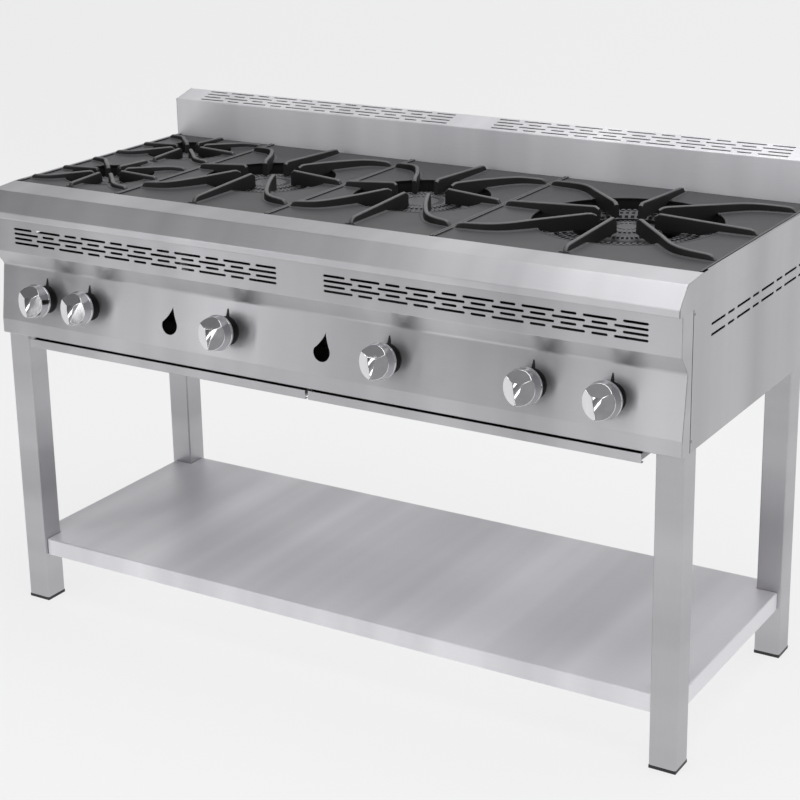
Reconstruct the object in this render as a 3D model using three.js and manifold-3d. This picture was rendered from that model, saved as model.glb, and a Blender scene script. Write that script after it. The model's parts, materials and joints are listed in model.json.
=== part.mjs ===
// Six-knob commercial gas range on an open stand, in millimetres.
// X runs to the right, Y to the back and Z up. The origin is on the floor, under the middle of the
// range with its knobs.

import * as THREE from 'three';
import { mergeVertices } from 'three/addons/utils/BufferGeometryUtils.js';
import Module from 'manifold-3d';

const wasm = await Module();
wasm.setup();

// ---- Driving dimensions -------------------------------------------------------------------------

const WIDTH = 1450;
const DEPTH = 670;
const KNOBS_PROUD = 25.35;
const HEIGHT = 962;
const COOKTOP_Z = 870;
const BODY_BOTTOM_Z = 576;
const SHELF_TOP_Z = 135;
const LEG_SIZE = 50;
const SHEET = 1.2;
const SIDE_SHEET = 1.5;
const GAP = 0.3;

// ---- Places worked out from them ----------------------------------------------------------------

const FRONT_Y = -(DEPTH - KNOBS_PROUD) / 2;
const BACK_Y = (DEPTH + KNOBS_PROUD) / 2;
const SKIRT_X = WIDTH / 2;
const SKIRT_INNER_X = SKIRT_X - SHEET;
const SIDE_PANEL_X = SKIRT_INNER_X - 0.5;
const SIDE_INNER_X = SIDE_PANEL_X - SIDE_SHEET;
const LEG_X = SIDE_INNER_X - GAP;
const LEG_INNER_X = LEG_X - LEG_SIZE;
const LEG_FRONT_Y = FRONT_Y + 41;
const LEG_BACK_Y = BACK_Y - 89;
const LEG_TOP_Z = BODY_BOTTOM_Z + 104;
const CAP_FLANGE = 6;
const LIP_BOTTOM_Z = COOKTOP_Z - 52;
const LIP_TOP_Z = COOKTOP_Z - 39;
const CREASE = { y: FRONT_Y + 31, z: COOKTOP_Z - 4.5 };
const OPENING_FRONT_Y = FRONT_Y + 95;
const OPENING_BACK_Y = BACK_Y - 56;
const OPENING_X = SKIRT_X - 5;
const LEDGE_Z = COOKTOP_Z - 8;
const LEDGE_WIDTH = 20;
const SPLASH_CREASE_Z = HEIGHT - 15;

const FASCIA_Y = FRONT_Y + 17;
const FASCIA_TOP_Z = LIP_BOTTOM_Z + 8;
const FASCIA_END_Y = FASCIA_Y + 40;
const STRIP_BOTTOM_Z = BODY_BOTTOM_Z + 172;
const PANEL_TOP = { y: FASCIA_Y + 26, z: BODY_BOTTOM_Z + 139 };
const PANEL_BOTTOM = { y: FASCIA_Y + 11, z: BODY_BOTTOM_Z + 29 };
const KNOB_X = [-610, -504, -177, 169, 450, 594];
const KNOB_Z = 657;
const SIGHT_HOLE_X = [-310, 30];

// ---- Small tools for shapes ---------------------------------------------------------------------

function toSolid(geometry) {
  const bare = geometry.clone();
  bare.deleteAttribute('normal');
  bare.deleteAttribute('uv');
  const merged = mergeVertices(bare, 1e-4);
  return new wasm.Manifold(new wasm.Mesh({
    numProp: 3,
    vertProperties: new Float32Array(merged.attributes.position.array),
    triVerts: new Uint32Array(merged.index.array),
  }));
}

function toGeometry(solid) {
  const mesh = solid.getMesh();
  const geometry = new THREE.BufferGeometry();
  geometry.setAttribute('position', new THREE.BufferAttribute(mesh.vertProperties, 3));
  geometry.setIndex(new THREE.BufferAttribute(mesh.triVerts, 1));
  geometry.computeVertexNormals();
  return geometry;
}

function join(geometries) {
  return toGeometry(geometries.map(toSolid).reduce((whole, piece) => whole.add(piece)));
}

function cut(geometry, cutters) {
  return toGeometry(cutters.map(toSolid).reduce((whole, tool) => whole.subtract(tool), toSolid(geometry)));
}

function box(x0, x1, y0, y1, z0, z1) {
  const geometry = new THREE.BoxGeometry(x1 - x0, y1 - y0, z1 - z0);
  return geometry.translate((x0 + x1) / 2, (y0 + y1) / 2, (z0 + z1) / 2);
}

function outlineShape(points) {
  return new THREE.Shape(points.map(([a, b]) => new THREE.Vector2(a, b)));
}

// A cylinder along Z from z0 to z1, closed at both ends.
function post(radius, z0, z1, sides = 24, topRadius = radius) {
  const geometry = new THREE.CylinderGeometry(topRadius, radius, z1 - z0, sides);
  return geometry.rotateX(Math.PI / 2).translate(0, 0, (z0 + z1) / 2);
}

function pipeAlongX(radius, x0, x1, y, z, sides = 20) {
  return post(radius, x0, x1, sides).rotateY(Math.PI / 2).translate(0, y, z);
}

function pipeAlongY(radius, y0, y1, x, z, sides = 20) {
  return post(radius, -y1, -y0, sides).rotateX(Math.PI / 2).translate(x, 0, z);
}

function extrude(shape, depth) {
  return new THREE.ExtrudeGeometry(shape, { depth, bevelEnabled: false });
}

// Extrudes an outline drawn in (y, z) along X from x0 to x1.
function alongX(shape, x0, x1) {
  const turn = new THREE.Matrix4().makeBasis(
    new THREE.Vector3(0, 1, 0), new THREE.Vector3(0, 0, 1), new THREE.Vector3(1, 0, 0));
  return extrude(shape, x1 - x0).applyMatrix4(turn).translate(x0, 0, 0);
}

// Extrudes an outline drawn in (x, z) along Y from y0 to y1.
function alongY(shape, y0, y1) {
  return extrude(shape, y1 - y0).rotateX(Math.PI / 2).translate(0, y1, 0);
}

function alongZ(shape, z0, z1) {
  return extrude(shape, z1 - z0).translate(0, 0, z0);
}

// The other face of a bent sheet: the line through its visible corners, moved to the left of its
// direction for a positive thickness and to the right for a negative one.
function offsetLine(line, thickness) {
  const normals = line.slice(1).map(([x, y], i) => {
    const direction = new THREE.Vector2(x - line[i][0], y - line[i][1]).normalize();
    return new THREE.Vector2(-direction.y, direction.x);
  });
  return line.map(([x, y], i) => {
    const before = normals[Math.max(i - 1, 0)];
    const after = normals[Math.min(i, normals.length - 1)];
    const reach = thickness / (1 + before.dot(after));
    return [x + (before.x + after.x) * reach, y + (before.y + after.y) * reach];
  });
}

function bentSheet(line, thickness) {
  return outlineShape([...line, ...offsetLine(line, thickness).reverse()]);
}

function tubeShape(x0, x1, y0, y1, wall) {
  const shape = outlineShape([[x0, y0], [x1, y0], [x1, y1], [x0, y1]]);
  shape.holes.push(outlineShape([
    [x0 + wall, y0 + wall], [x0 + wall, y1 - wall], [x1 - wall, y1 - wall], [x1 - wall, y0 + wall],
  ]));
  return shape;
}

// ---- Slot pattern -------------------------------------------------------------------------------

const SLOT = { long: 60, short: 29, bridge: 11, height: 4.5 };
const SLOT_PERIOD = SLOT.long + SLOT.short + 2 * SLOT.bridge;
const BLOCK_PERIODS = 5;
const BLOCK_LENGTH = BLOCK_PERIODS * SLOT_PERIOD + SLOT.long;
const BLOCK_OUTER_X = 665;

// Start and end of each slot in one row. A plain row starts with a long slot. A staggered row puts
// its long slots over the short ones of a plain row, and fills its ends with middle-sized slots.
function slotRow(periods, staggered) {
  const row = [];
  for (let i = 0; i <= periods; i += 1) row.push([i * SLOT_PERIOD, i * SLOT_PERIOD + SLOT.long]);
  for (let i = 0; i < periods; i += 1) {
    const start = i * SLOT_PERIOD + SLOT.long + SLOT.bridge;
    row.push([start, start + SLOT.short]);
  }
  if (!staggered) return row;
  const length = periods * SLOT_PERIOD + SLOT.long;
  const shifted = row.map(([a, b]) => [a - SLOT_PERIOD / 2, b - SLOT_PERIOD / 2]);
  const inside = shifted.filter(([a, b]) => a > SLOT.short && b < length - SLOT.short);
  const first = Math.min(...inside.map(([a]) => a)) - SLOT.bridge;
  const last = Math.max(...inside.map(([, b]) => b)) + SLOT.bridge;
  return [[0, first], ...inside, [last, length]];
}

// Cutters for two blocks of four slot rows each, in a plane where rows run along X.
function slotBlocks(rowCentres, makeCutter) {
  const cutters = [];
  rowCentres.forEach((centre, rowIndex) => {
    for (const [a, b] of slotRow(BLOCK_PERIODS, rowIndex % 2 === 0)) {
      for (const side of [-1, 1]) {
        const start = side * (BLOCK_OUTER_X - BLOCK_LENGTH + a);
        const end = side * (BLOCK_OUTER_X - BLOCK_LENGTH + b);
        cutters.push(makeCutter(Math.min(start, end), Math.max(start, end), centre));
      }
    }
  });
  return cutters;
}

// ---- Stand --------------------------------------------------------------------------------------

function leg() {
  const tube = tubeShape(0, LEG_SIZE, 0, LEG_SIZE, 1.5);
  return alongZ(tube, CAP_FLANGE + GAP, LEG_TOP_Z);
}

function legCap() {
  const plug = 2;
  return join([
    box(0, LEG_SIZE, 0, LEG_SIZE, 0, CAP_FLANGE),
    box(plug, LEG_SIZE - plug, plug, LEG_SIZE - plug, CAP_FLANGE - 1, CAP_FLANGE + 20),
  ]);
}

// The folded-down tray shelf, notched at its corners around the legs.
function shelf() {
  const inset = 8;
  const x = LEG_X - inset;
  const front = LEG_FRONT_Y + inset;
  const back = LEG_BACK_Y - inset;
  const bottom = SHELF_TOP_Z - 34;
  const plate = box(-x, x, front, back, bottom, SHELF_TOP_Z);
  const cutters = [
    box(-x + SHEET, x - SHEET, front + SHEET, back - SHEET, bottom - 1, SHELF_TOP_Z - SHEET),
  ];
  const notch = LEG_SIZE + GAP;
  for (const side of [-1, 1]) {
    const inner = side * (LEG_X - notch);
    const outer = side * (LEG_X + 1);
    const x0 = Math.min(inner, outer);
    const x1 = Math.max(inner, outer);
    cutters.push(box(x0, x1, LEG_FRONT_Y - 1, LEG_FRONT_Y + notch, bottom - 1, SHELF_TOP_Z + 1));
    cutters.push(box(x0, x1, LEG_BACK_Y - notch, LEG_BACK_Y + 1, bottom - 1, SHELF_TOP_Z + 1));
  }
  return cut(plate, cutters);
}

// ---- Frame of the body --------------------------------------------------------------------------

const RAIL = 25;
const RAIL_Z = BODY_BOTTOM_Z + 2;
const TRAY = {
  inner: 3, outer: 653, ledge: 25,
  lipTop: BODY_BOTTOM_Z - 3, lipBottom: BODY_BOTTOM_Z - 20,
  panTop: BODY_BOTTOM_Z - 5, floor: BODY_BOTTOM_Z - 17, ledgeTop: BODY_BOTTOM_Z - 17.5,
};

function crossRail(y0) {
  const x = LEG_INNER_X - GAP;
  return alongX(tubeShape(y0, y0 + RAIL, RAIL_Z, RAIL_Z + RAIL, 1.5), -x, x);
}

// A side rail of the body, with the folded ledge that one edge of a crumb tray slides on.
function sideRail(side) {
  const y0 = LEG_FRONT_Y + LEG_SIZE + GAP;
  const y1 = LEG_BACK_Y - LEG_SIZE - GAP;
  const wallX = TRAY.outer + 2;
  const x0 = LEG_X - RAIL;
  const tube = alongY(tubeShape(x0, LEG_X, RAIL_Z, RAIL_Z + RAIL, 1.5), y0, y1);
  const ledge = alongY(bentSheet([
    [LEG_X, RAIL_Z + 0.5], [wallX, RAIL_Z + 0.5], [wallX, TRAY.ledgeTop], [wallX - TRAY.ledge, TRAY.ledgeTop],
  ], 1.5), y0, y1);
  const whole = join([tube, ledge]);
  return side > 0 ? whole : mirrorX(whole);
}

function mirrorX(geometry) {
  return toGeometry(toSolid(geometry).mirror([1, 0, 0]));
}

function trayRunner() {
  const y0 = LEG_FRONT_Y + 4;
  const y1 = LEG_BACK_Y - 4;
  return join([
    box(-1.5, 1.5, y0, y1, TRAY.ledgeTop - 1, RAIL_Z - GAP),
    box(-TRAY.ledge, TRAY.ledge, y0, y1, TRAY.ledgeTop - 1.5, TRAY.ledgeTop),
  ]);
}

// A shallow sheet pan with a folded front that shows under the control panel.
function crumbTray(side) {
  const panX0 = TRAY.inner + 2;
  const panX1 = TRAY.outer - 2;
  const frontY = PANEL_BOTTOM.y - 2;
  const panFront = frontY + SHEET;
  const panBack = LEG_BACK_Y - 60;
  const block = box(panX0, panX1, panFront - 0.5, panBack, TRAY.floor, TRAY.panTop);
  const pan = cut(block, [box(
    panX0 + SHEET, panX1 - SHEET, panFront + SHEET, panBack - SHEET, TRAY.floor + SHEET, TRAY.panTop + 1)]);
  const front = box(TRAY.inner, TRAY.outer, frontY, panFront, TRAY.lipBottom, TRAY.lipTop);
  const whole = join([pan, front]);
  return side > 0 ? whole : mirrorX(whole);
}

// ---- Top of the body ----------------------------------------------------------------------------

const FRONT_EDGE = [
  [OPENING_FRONT_Y, COOKTOP_Z], [CREASE.y, CREASE.z], [FRONT_Y, LIP_TOP_Z], [FRONT_Y, LIP_BOTTOM_Z],
];

function topFrontRail() {
  const line = [
    [OPENING_FRONT_Y + LEDGE_WIDTH, LEDGE_Z],
    [OPENING_FRONT_Y, LEDGE_Z],
    ...FRONT_EDGE,
    [FASCIA_Y - 0.5, LIP_BOTTOM_Z],
  ];
  return alongX(bentSheet(line, SHEET), -SKIRT_INNER_X + GAP, SKIRT_INNER_X - GAP);
}

// The side edge of the top: a deep outer skirt shaped like the front edge, and the ledge for the grates.
function topSideRail(side) {
  const skirt = alongX(outlineShape([
    ...FRONT_EDGE, [BACK_Y, LIP_BOTTOM_Z], [BACK_Y, COOKTOP_Z],
  ]), SKIRT_INNER_X, SKIRT_X);
  const channel = alongY(bentSheet([
    [OPENING_X - LEDGE_WIDTH, LEDGE_Z], [OPENING_X, LEDGE_Z], [OPENING_X, COOKTOP_Z], [SKIRT_X, COOKTOP_Z],
  ], -SHEET), OPENING_FRONT_Y + LEDGE_WIDTH + GAP, OPENING_BACK_Y - LEDGE_WIDTH - GAP);
  const whole = join([skirt, channel]);
  return side > 0 ? whole : mirrorX(whole);
}

function splashback() {
  const sheetX = SIDE_PANEL_X;
  const line = [
    [OPENING_BACK_Y - LEDGE_WIDTH, LEDGE_Z],
    [OPENING_BACK_Y, LEDGE_Z],
    [OPENING_BACK_Y, SPLASH_CREASE_Z],
    [BACK_Y, HEIGHT],
    [BACK_Y, COOKTOP_Z + 2],
  ];
  const folded = alongX(bentSheet(line, -SHEET), -sheetX, sheetX);
  const cheek = outlineShape([
    [OPENING_BACK_Y, COOKTOP_Z + GAP], [BACK_Y, COOKTOP_Z + GAP],
    [BACK_Y, HEIGHT], [OPENING_BACK_Y, SPLASH_CREASE_Z],
  ]);
  const whole = join([
    folded, alongX(cheek, -SKIRT_X, -sheetX + SHEET), alongX(cheek, sheetX - SHEET, SKIRT_X),
  ]);
  const rise = HEIGHT - SPLASH_CREASE_Z;
  const slopeDepth = BACK_Y - OPENING_BACK_Y;
  const slope = Math.atan2(rise, slopeDepth);
  const rows = [0.83, 0.61, 0.39, 0.17];
  return cut(whole, slotBlocks(rows, (x0, x1, share) => {
    const slot = new THREE.BoxGeometry(x1 - x0, SLOT.height, 6);
    const y = OPENING_BACK_Y + share * slopeDepth;
    return slot.rotateX(slope).translate((x0 + x1) / 2, y, SPLASH_CREASE_Z + share * rise);
  }));
}

function grateBearer(x) {
  const y0 = OPENING_FRONT_Y + LEDGE_WIDTH + GAP;
  const y1 = OPENING_BACK_Y - LEDGE_WIDTH - GAP;
  return join([
    box(x - 14, x + 14, y0, y1, LEDGE_Z - 4, LEDGE_Z),
    box(x - 2, x + 2, y0, y1, LEDGE_Z - 24, LEDGE_Z - 3),
  ]);
}

// ---- Panels -------------------------------------------------------------------------------------

const PANEL_SLOPE = Math.atan2(PANEL_TOP.y - PANEL_BOTTOM.y, PANEL_TOP.z - PANEL_BOTTOM.z);
const KNOB_TURN = Math.PI / 2 - PANEL_SLOPE;

function panelY(z) {
  return PANEL_BOTTOM.y + (z - PANEL_BOTTOM.z) * Math.tan(PANEL_SLOPE);
}

function placeOnPanel(object, x, z) {
  object.position.set(x, panelY(z), z);
  object.rotation.x = KNOB_TURN;
  return object;
}

function cutterOnPanel(geometry, x, z) {
  const place = placeOnPanel(new THREE.Object3D(), x, z);
  place.updateMatrix();
  return geometry.applyMatrix4(place.matrix);
}

// A plain teardrop, 54 high, with its round end down and its tip leaning slightly.
function sightHoleShape() {
  const radius = 17.5;
  const centreY = -9.5;
  const left = 0.9 * Math.PI;
  const right = 2.15 * Math.PI;
  const tip = new THREE.Vector2(7, 27);
  const points = [];
  for (let i = 0; i <= 12; i += 1) {
    const angle = left + (right - left) * (i / 12);
    points.push([radius * Math.cos(angle), centreY + radius * Math.sin(angle)]);
  }
  const [start, end] = [points[0], points[12]].map(([x, y]) => new THREE.Vector2(x, y));
  const rising = new THREE.QuadraticBezierCurve(end, new THREE.Vector2(9, 14), tip);
  const falling = new THREE.QuadraticBezierCurve(tip, new THREE.Vector2(1, 11), start);
  for (const share of [0.33, 0.67, 1]) points.push(rising.getPoint(share).toArray());
  for (const share of [0.33, 0.67]) points.push(falling.getPoint(share).toArray());
  return outlineShape(points);
}

// One folded sheet: the slotted vent strip, the recess under it and the sloping control panel.
function frontFascia() {
  const foldY = FASCIA_Y + 15;
  const returnY = PANEL_BOTTOM.y + 11;
  const line = [
    [foldY, FASCIA_TOP_Z],
    [FASCIA_Y, FASCIA_TOP_Z],
    [FASCIA_Y, STRIP_BOTTOM_Z],
    [PANEL_TOP.y, PANEL_TOP.z],
    [PANEL_BOTTOM.y, PANEL_BOTTOM.z],
    [PANEL_BOTTOM.y, BODY_BOTTOM_Z],
    [returnY, BODY_BOTTOM_Z],
  ];
  const behind = FASCIA_END_Y + 1;
  const solid = outlineShape([
    ...line.slice(1, -1), [FASCIA_END_Y, BODY_BOTTOM_Z], [FASCIA_END_Y, FASCIA_TOP_Z],
  ]);
  const hollow = outlineShape([
    [behind, FASCIA_TOP_Z + 1], [foldY, FASCIA_TOP_Z + 1],
    ...offsetLine(line, SHEET),
    [returnY, BODY_BOTTOM_Z - 1], [behind, BODY_BOTTOM_Z - 1],
  ]);
  const rows = [0, 1, 2, 3].map((i) => LIP_BOTTOM_Z - 22 - i * 9.3);
  const slots = slotBlocks(rows, (x0, x1, z) => box(
    x0, x1, FASCIA_Y - 2, FASCIA_Y + 3, z - SLOT.height / 2, z + SLOT.height / 2));
  const stemHoles = KNOB_X.map((x) => cutterOnPanel(post(VALVE.nose + 1, -4, 4, 16), x, KNOB_Z));
  const sightHoles = SIGHT_HOLE_X.map((x) => cutterOnPanel(alongZ(sightHoleShape(), -4, 4), x, KNOB_Z));
  return cut(alongX(solid, -SIDE_PANEL_X, SIDE_PANEL_X), [
    alongX(hollow, -SIDE_INNER_X, SIDE_INNER_X), ...slots, ...stemHoles, ...sightHoles,
  ]);
}

function sidePanel(side) {
  const y0 = FASCIA_END_Y + 0.5;
  const sheet = box(SIDE_INNER_X, SIDE_PANEL_X, y0, BACK_Y - 2, BODY_BOTTOM_Z, LEDGE_Z - 3);
  const slotStart = LEG_FRONT_Y + 92;
  const half = SLOT.height / 2;
  const slots = [COOKTOP_Z - 96.5, COOKTOP_Z - 115].flatMap((z) => slotRow(4, false).map(([a, b]) => box(
    SIDE_INNER_X - 1, SIDE_PANEL_X + 1, slotStart + a, slotStart + b, z - half, z + half)));
  const whole = cut(sheet, slots);
  return side > 0 ? whole : mirrorX(whole);
}

// The back sheet, folded forward at its foot to close the body behind the rear legs.
function backPanel() {
  const y1 = BACK_Y - 0.3;
  const halfWidth = SIDE_INNER_X - GAP;
  const upright = box(-halfWidth, halfWidth, y1 - SHEET, y1, BODY_BOTTOM_Z, COOKTOP_Z + 1.5);
  const foot = box(-halfWidth, halfWidth, LEG_BACK_Y + GAP, y1, BODY_BOTTOM_Z, BODY_BOTTOM_Z + SHEET);
  return cut(join([upright, foot]), [pipeAlongY(18, y1 - 4, y1 + 4, INLET_X, MANIFOLD.z)]);
}

// ---- Gas train ----------------------------------------------------------------------------------

const MANIFOLD = { y: LEG_FRONT_Y + 54, z: KNOB_Z - 9, radius: 13.5, bore: 10.5, end: 640 };
const INLET_X = 655;

// Measured along the axis of a knob, from the face of the panel: minus is inside.
const VALVE = {
  radius: 12, front: -8, back: -46, nose: 8, noseFront: -2.2,
  nozzle: 5, rise: 20, nozzleEnd: -72, bore: 5.2, boreEnd: -24,
};
const STEM = { radius: 4, back: -22, front: 49, collar: 6.5, collarBack: 1.5, collarFront: 7 };

function manifoldPipe() {
  const pipe = pipeAlongX(MANIFOLD.radius, -MANIFOLD.end, MANIFOLD.end, MANIFOLD.y, MANIFOLD.z);
  return cut(pipe, [pipeAlongX(MANIFOLD.bore, -MANIFOLD.end + 5, MANIFOLD.end + 1, MANIFOLD.y, MANIFOLD.z)]);
}

// The inlet elbow and the pipe that runs back to the threaded end at the rear.
function gasInlet() {
  const endY = BACK_Y - GAP;
  const { y, z, radius, bore } = MANIFOLD;
  const outside = join([
    pipeAlongX(radius, MANIFOLD.end + GAP, INLET_X, y, z), pipeAlongY(radius, y - radius, endY, INLET_X, z),
  ]);
  return cut(outside, [
    pipeAlongX(bore, MANIFOLD.end - 1, INLET_X, y, z), pipeAlongY(bore, y - bore, endY + 1, INLET_X, z),
  ]);
}

// Valve body behind the panel: nose for the stem, plug housing, and a nozzle that points backwards.
function gasValve() {
  const { radius, front, back, nose, noseFront, nozzle, rise, nozzleEnd, bore, boreEnd } = VALVE;
  const arm = (back + front) / 2;
  const body = join([
    post(radius, back, front, 12),
    post(nose, front - 1, noseFront, 12),
    pipeAlongY(nozzle + 1, radius / 2, rise + nozzle + 1, 0, arm, 8),
    post(nozzle, nozzleEnd, arm, 8).translate(0, rise, 0),
  ]);
  return cut(body, [post(bore, boreEnd, 0, 12)]);
}

function valveStem() {
  const { radius, back, front, collar, collarBack, collarFront } = STEM;
  return join([post(radius, back, front, 10), post(collar, collarBack, collarFront, 12)]);
}

// ---- Knobs --------------------------------------------------------------------------------------

const KNOB = { back: 24, front: 58, rim: 33, nose: 25, grip: 13, flankAngle: 0.35, flankDepth: 9 };

// A cast knob: a round skirt and a tapering body, cut away on both sides to leave an upright grip.
function knob() {
  const flank = KNOB.rim * 2;
  const body = new THREE.LatheGeometry([
    [0, KNOB.back], [KNOB.rim - 2, KNOB.back], [KNOB.rim, KNOB.back + 2], [KNOB.rim, KNOB.back + 6],
    [KNOB.nose + 3, KNOB.front - 6], [KNOB.nose - 3, KNOB.front], [0, KNOB.front],
  ].map(([r, z]) => new THREE.Vector2(r, z)), 24).rotateX(Math.PI / 2);
  const flanks = [-1, 1].map((side) => {
    const wedge = box(-flank / 2, flank / 2, -flank, flank, 0, flank);
    wedge.translate(flank / 2, 0, 0);
    wedge.rotateY(KNOB.flankAngle);
    wedge.translate(KNOB.grip / 2, 0, KNOB.back + KNOB.flankDepth);
    return side > 0 ? wedge : mirrorX(wedge);
  });
  return cut(body, [...flanks, post(STEM.radius + 0.6, KNOB.back - 1, STEM.front + 1, 12)]);
}

// ---- Burners ------------------------------------------------------------------------------------

const BURNER = { bottom: COOKTOP_Z - 50, top: COOKTOP_Z - 13 };
const TUBE = { radius: 13, bell: 19, mouthY: LEG_FRONT_Y + 76, mouthZ: KNOB_Z + 10 };

// The mixing tube: a bell mouth behind its valve, a run to the back and a bend up into the head.
function mixingTube(mouthX, riserX, riserY) {
  const mouth = new THREE.Vector3(mouthX, TUBE.mouthY, TUBE.mouthZ);
  const path = new THREE.CatmullRomCurve3([
    mouth.clone().add(new THREE.Vector3(0, 6, 0)),
    mouth.clone().add(new THREE.Vector3(0, 40, 2)),
    new THREE.Vector3(riserX, riserY - 34, TUBE.mouthZ + 16),
    new THREE.Vector3(riserX, riserY, TUBE.mouthZ + 56),
    new THREE.Vector3(riserX, riserY, BURNER.bottom + 3),
  ]);
  const section = new THREE.Shape().absarc(0, 0, TUBE.radius, 0, Math.PI * 2);
  const pipe = new THREE.ExtrudeGeometry(section, {
    extrudePath: path, steps: 9, bevelEnabled: false, curveSegments: 4,
  });
  const bell = post(TUBE.radius, -16, 0, 12, TUBE.bell).rotateX(Math.PI / 2);
  bell.translate(mouth.x, mouth.y, mouth.z);
  return { pipe, bell, bore: pipeAlongY(TUBE.radius - 3, mouth.y - 1, mouth.y + 14, mouth.x, mouth.z, 10) };
}

function burnerHead(radius, x, y) {
  const { bottom, top } = BURNER;
  return new THREE.LatheGeometry([
    [0, bottom], [radius * 0.75, bottom], [radius, bottom + 14], [radius, bottom + 22],
    [radius * 0.8, top - 6], [radius * 0.45, top], [0, top - 3],
  ].map(([r, z]) => new THREE.Vector2(r, z)), 20).rotateX(Math.PI / 2).translate(x, y, 0);
}

function burnerRing(inner, outer, x, y) {
  const { bottom, top } = BURNER;
  return new THREE.LatheGeometry([
    [inner, bottom + 8], [inner + 8, bottom], [outer - 12, bottom], [outer, bottom + 12], [outer, top - 14],
    [(inner + outer) / 2, top - 4], [inner, top - 12], [inner, bottom + 8],
  ].map(([r, z]) => new THREE.Vector2(r, z)), 24).rotateX(Math.PI / 2).translate(x, y, 0);
}

function burner(head, mouthX, riserX, riserY) {
  const tube = mixingTube(mouthX, riserX, riserY);
  return cut(join([head, tube.pipe, tube.bell]), [tube.bore]);
}

const SUPPORT_HALF_WIDTH = 15;

function burnerSupport(y) {
  const reach = SIDE_INNER_X - GAP;
  const top = BURNER.bottom - GAP;
  return alongX(bentSheet([
    [y - SUPPORT_HALF_WIDTH, top - 20], [y - SUPPORT_HALF_WIDTH, top],
    [y + SUPPORT_HALF_WIDTH, top], [y + SUPPORT_HALF_WIDTH, top - 20],
  ], -2), -reach, reach);
}

// ---- Cast grates --------------------------------------------------------------------------------

const GRATE = {
  front: OPENING_FRONT_Y + 1.5, back: OPENING_BACK_Y - 1.5, gap: 1.5, edge: OPENING_X - 1.5,
  bottom: LEDGE_Z + GAP, top: COOKTOP_Z - 2, skirtBottom: COOKTOP_Z - 28, skirtWall: 5,
  rimWidth: 6, rimHeight: 3,
};
const GRATE_MIDDLE_Y = (GRATE.front + GRATE.back) / 2;
const SMALL_WIDTH = 246.5;
const MIDDLE_WIDTH = 345.5;
const BLADE = { width: 9, drop: 9, dropLength: 25, root: 2 };

// One upright finger along a plan curve. Its top climbs from the outer to the inner end, and its
// foot drops below the plate once it has passed the edge of the burner opening.
function blade(points, opening, stations) {
  const curve = new THREE.CatmullRomCurve3(points.map(([x, y]) => new THREE.Vector3(x, y, 0)));
  const vertices = [];
  const triangles = [];
  for (let i = 0; i <= stations; i += 1) {
    const share = i / stations;
    const place = curve.getPointAt(share);
    const along = curve.getTangentAt(share);
    const inward = opening.radius - Math.hypot(place.x, place.y);
    const drop = BLADE.drop * Math.min(1, Math.max(0, inward / BLADE.dropLength));
    const foot = GRATE.top - Math.max(BLADE.root, drop);
    const top = GRATE.top + opening.rise[0] + share * (opening.rise[1] - opening.rise[0]);
    for (const [side, z] of [[-1, foot], [1, foot], [1, top], [-1, top]]) {
      vertices.push(
        opening.x + place.x - along.y * side * BLADE.width / 2,
        opening.y + place.y + along.x * side * BLADE.width / 2,
        z);
    }
    if (i === 0) continue;
    const a = (i - 1) * 4;
    for (let k = 0; k < 4; k += 1) {
      const next = (k + 1) % 4;
      triangles.push(a + k, a + next, a + 4 + k, a + next, a + 4 + next, a + 4 + k);
    }
  }
  const last = stations * 4;
  triangles.push(0, 2, 1, 0, 3, 2, last, last + 1, last + 2, last, last + 2, last + 3);
  const geometry = new THREE.BufferGeometry();
  geometry.setAttribute('position', new THREE.Float32BufferAttribute(vertices, 3));
  geometry.setIndex(triangles);
  return geometry;
}

// The eight fingers around one opening: four straight ones and four that sweep in from the sides.
function fingers(opening, halfWidth) {
  const { halfDepth, reach } = opening;
  const set = [];
  for (const side of [-1, 1]) {
    set.push(blade([[side * (halfWidth - 3), 0], [side * reach, 0]], opening, 4));
    set.push(blade([[0, side * (halfDepth - 10)], [0, side * reach]], opening, 4));
    for (const end of [-1, 1]) {
      const sweep = [
        [side * (halfWidth - 3), end * halfDepth * 0.72],
        [side * halfWidth * 0.68, end * halfDepth * 0.66],
        [side * halfWidth * 0.45, end * halfDepth * 0.45],
        [side * reach * 0.75, end * reach * 0.78],
      ];
      set.push(blade(sweep, opening, 6));
    }
  }
  return set;
}

function grate(x0, x1, openings) {
  const plate = box(x0, x1, GRATE.front, GRATE.back, GRATE.bottom, GRATE.top);
  const rims = [[x0, x0 + GRATE.rimWidth], [x1 - GRATE.rimWidth, x1]].map(([a, b]) => box(
    a, b, GRATE.front, GRATE.back, GRATE.top - 1, GRATE.top + GRATE.rimHeight));
  const ring = (opening, radius, z0, z1) => post(radius, z0, z1, 32).translate(opening.x, opening.y, 0);
  const skirts = openings.map((opening) => ring(
    opening, opening.radius + GRATE.skirtWall, GRATE.skirtBottom, GRATE.top - 1));
  const holes = openings.map((opening) => ring(
    opening, opening.radius, GRATE.skirtBottom - 1, GRATE.top + GRATE.rimHeight + 1));
  const pierced = cut(join([plate, ...rims, ...skirts]), holes);
  return join([pierced, ...openings.flatMap((opening) => fingers(opening, (x1 - x0) / 2))]);
}

// ---- Layout of the cooktop ----------------------------------------------------------------------

const widths = [SMALL_WIDTH, MIDDLE_WIDTH, MIDDLE_WIDTH];
const columns = [];
let columnStart = -GRATE.edge;
for (const width of widths) {
  columns.push({ x0: columnStart, x1: columnStart + width });
  columnStart += width + GRATE.gap;
}
columns.push({ x0: columnStart, x1: GRATE.edge });
for (const column of columns) column.x = (column.x0 + column.x1) / 2;

const halfDepth = (GRATE.back - GRATE.front) / 2;
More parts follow.
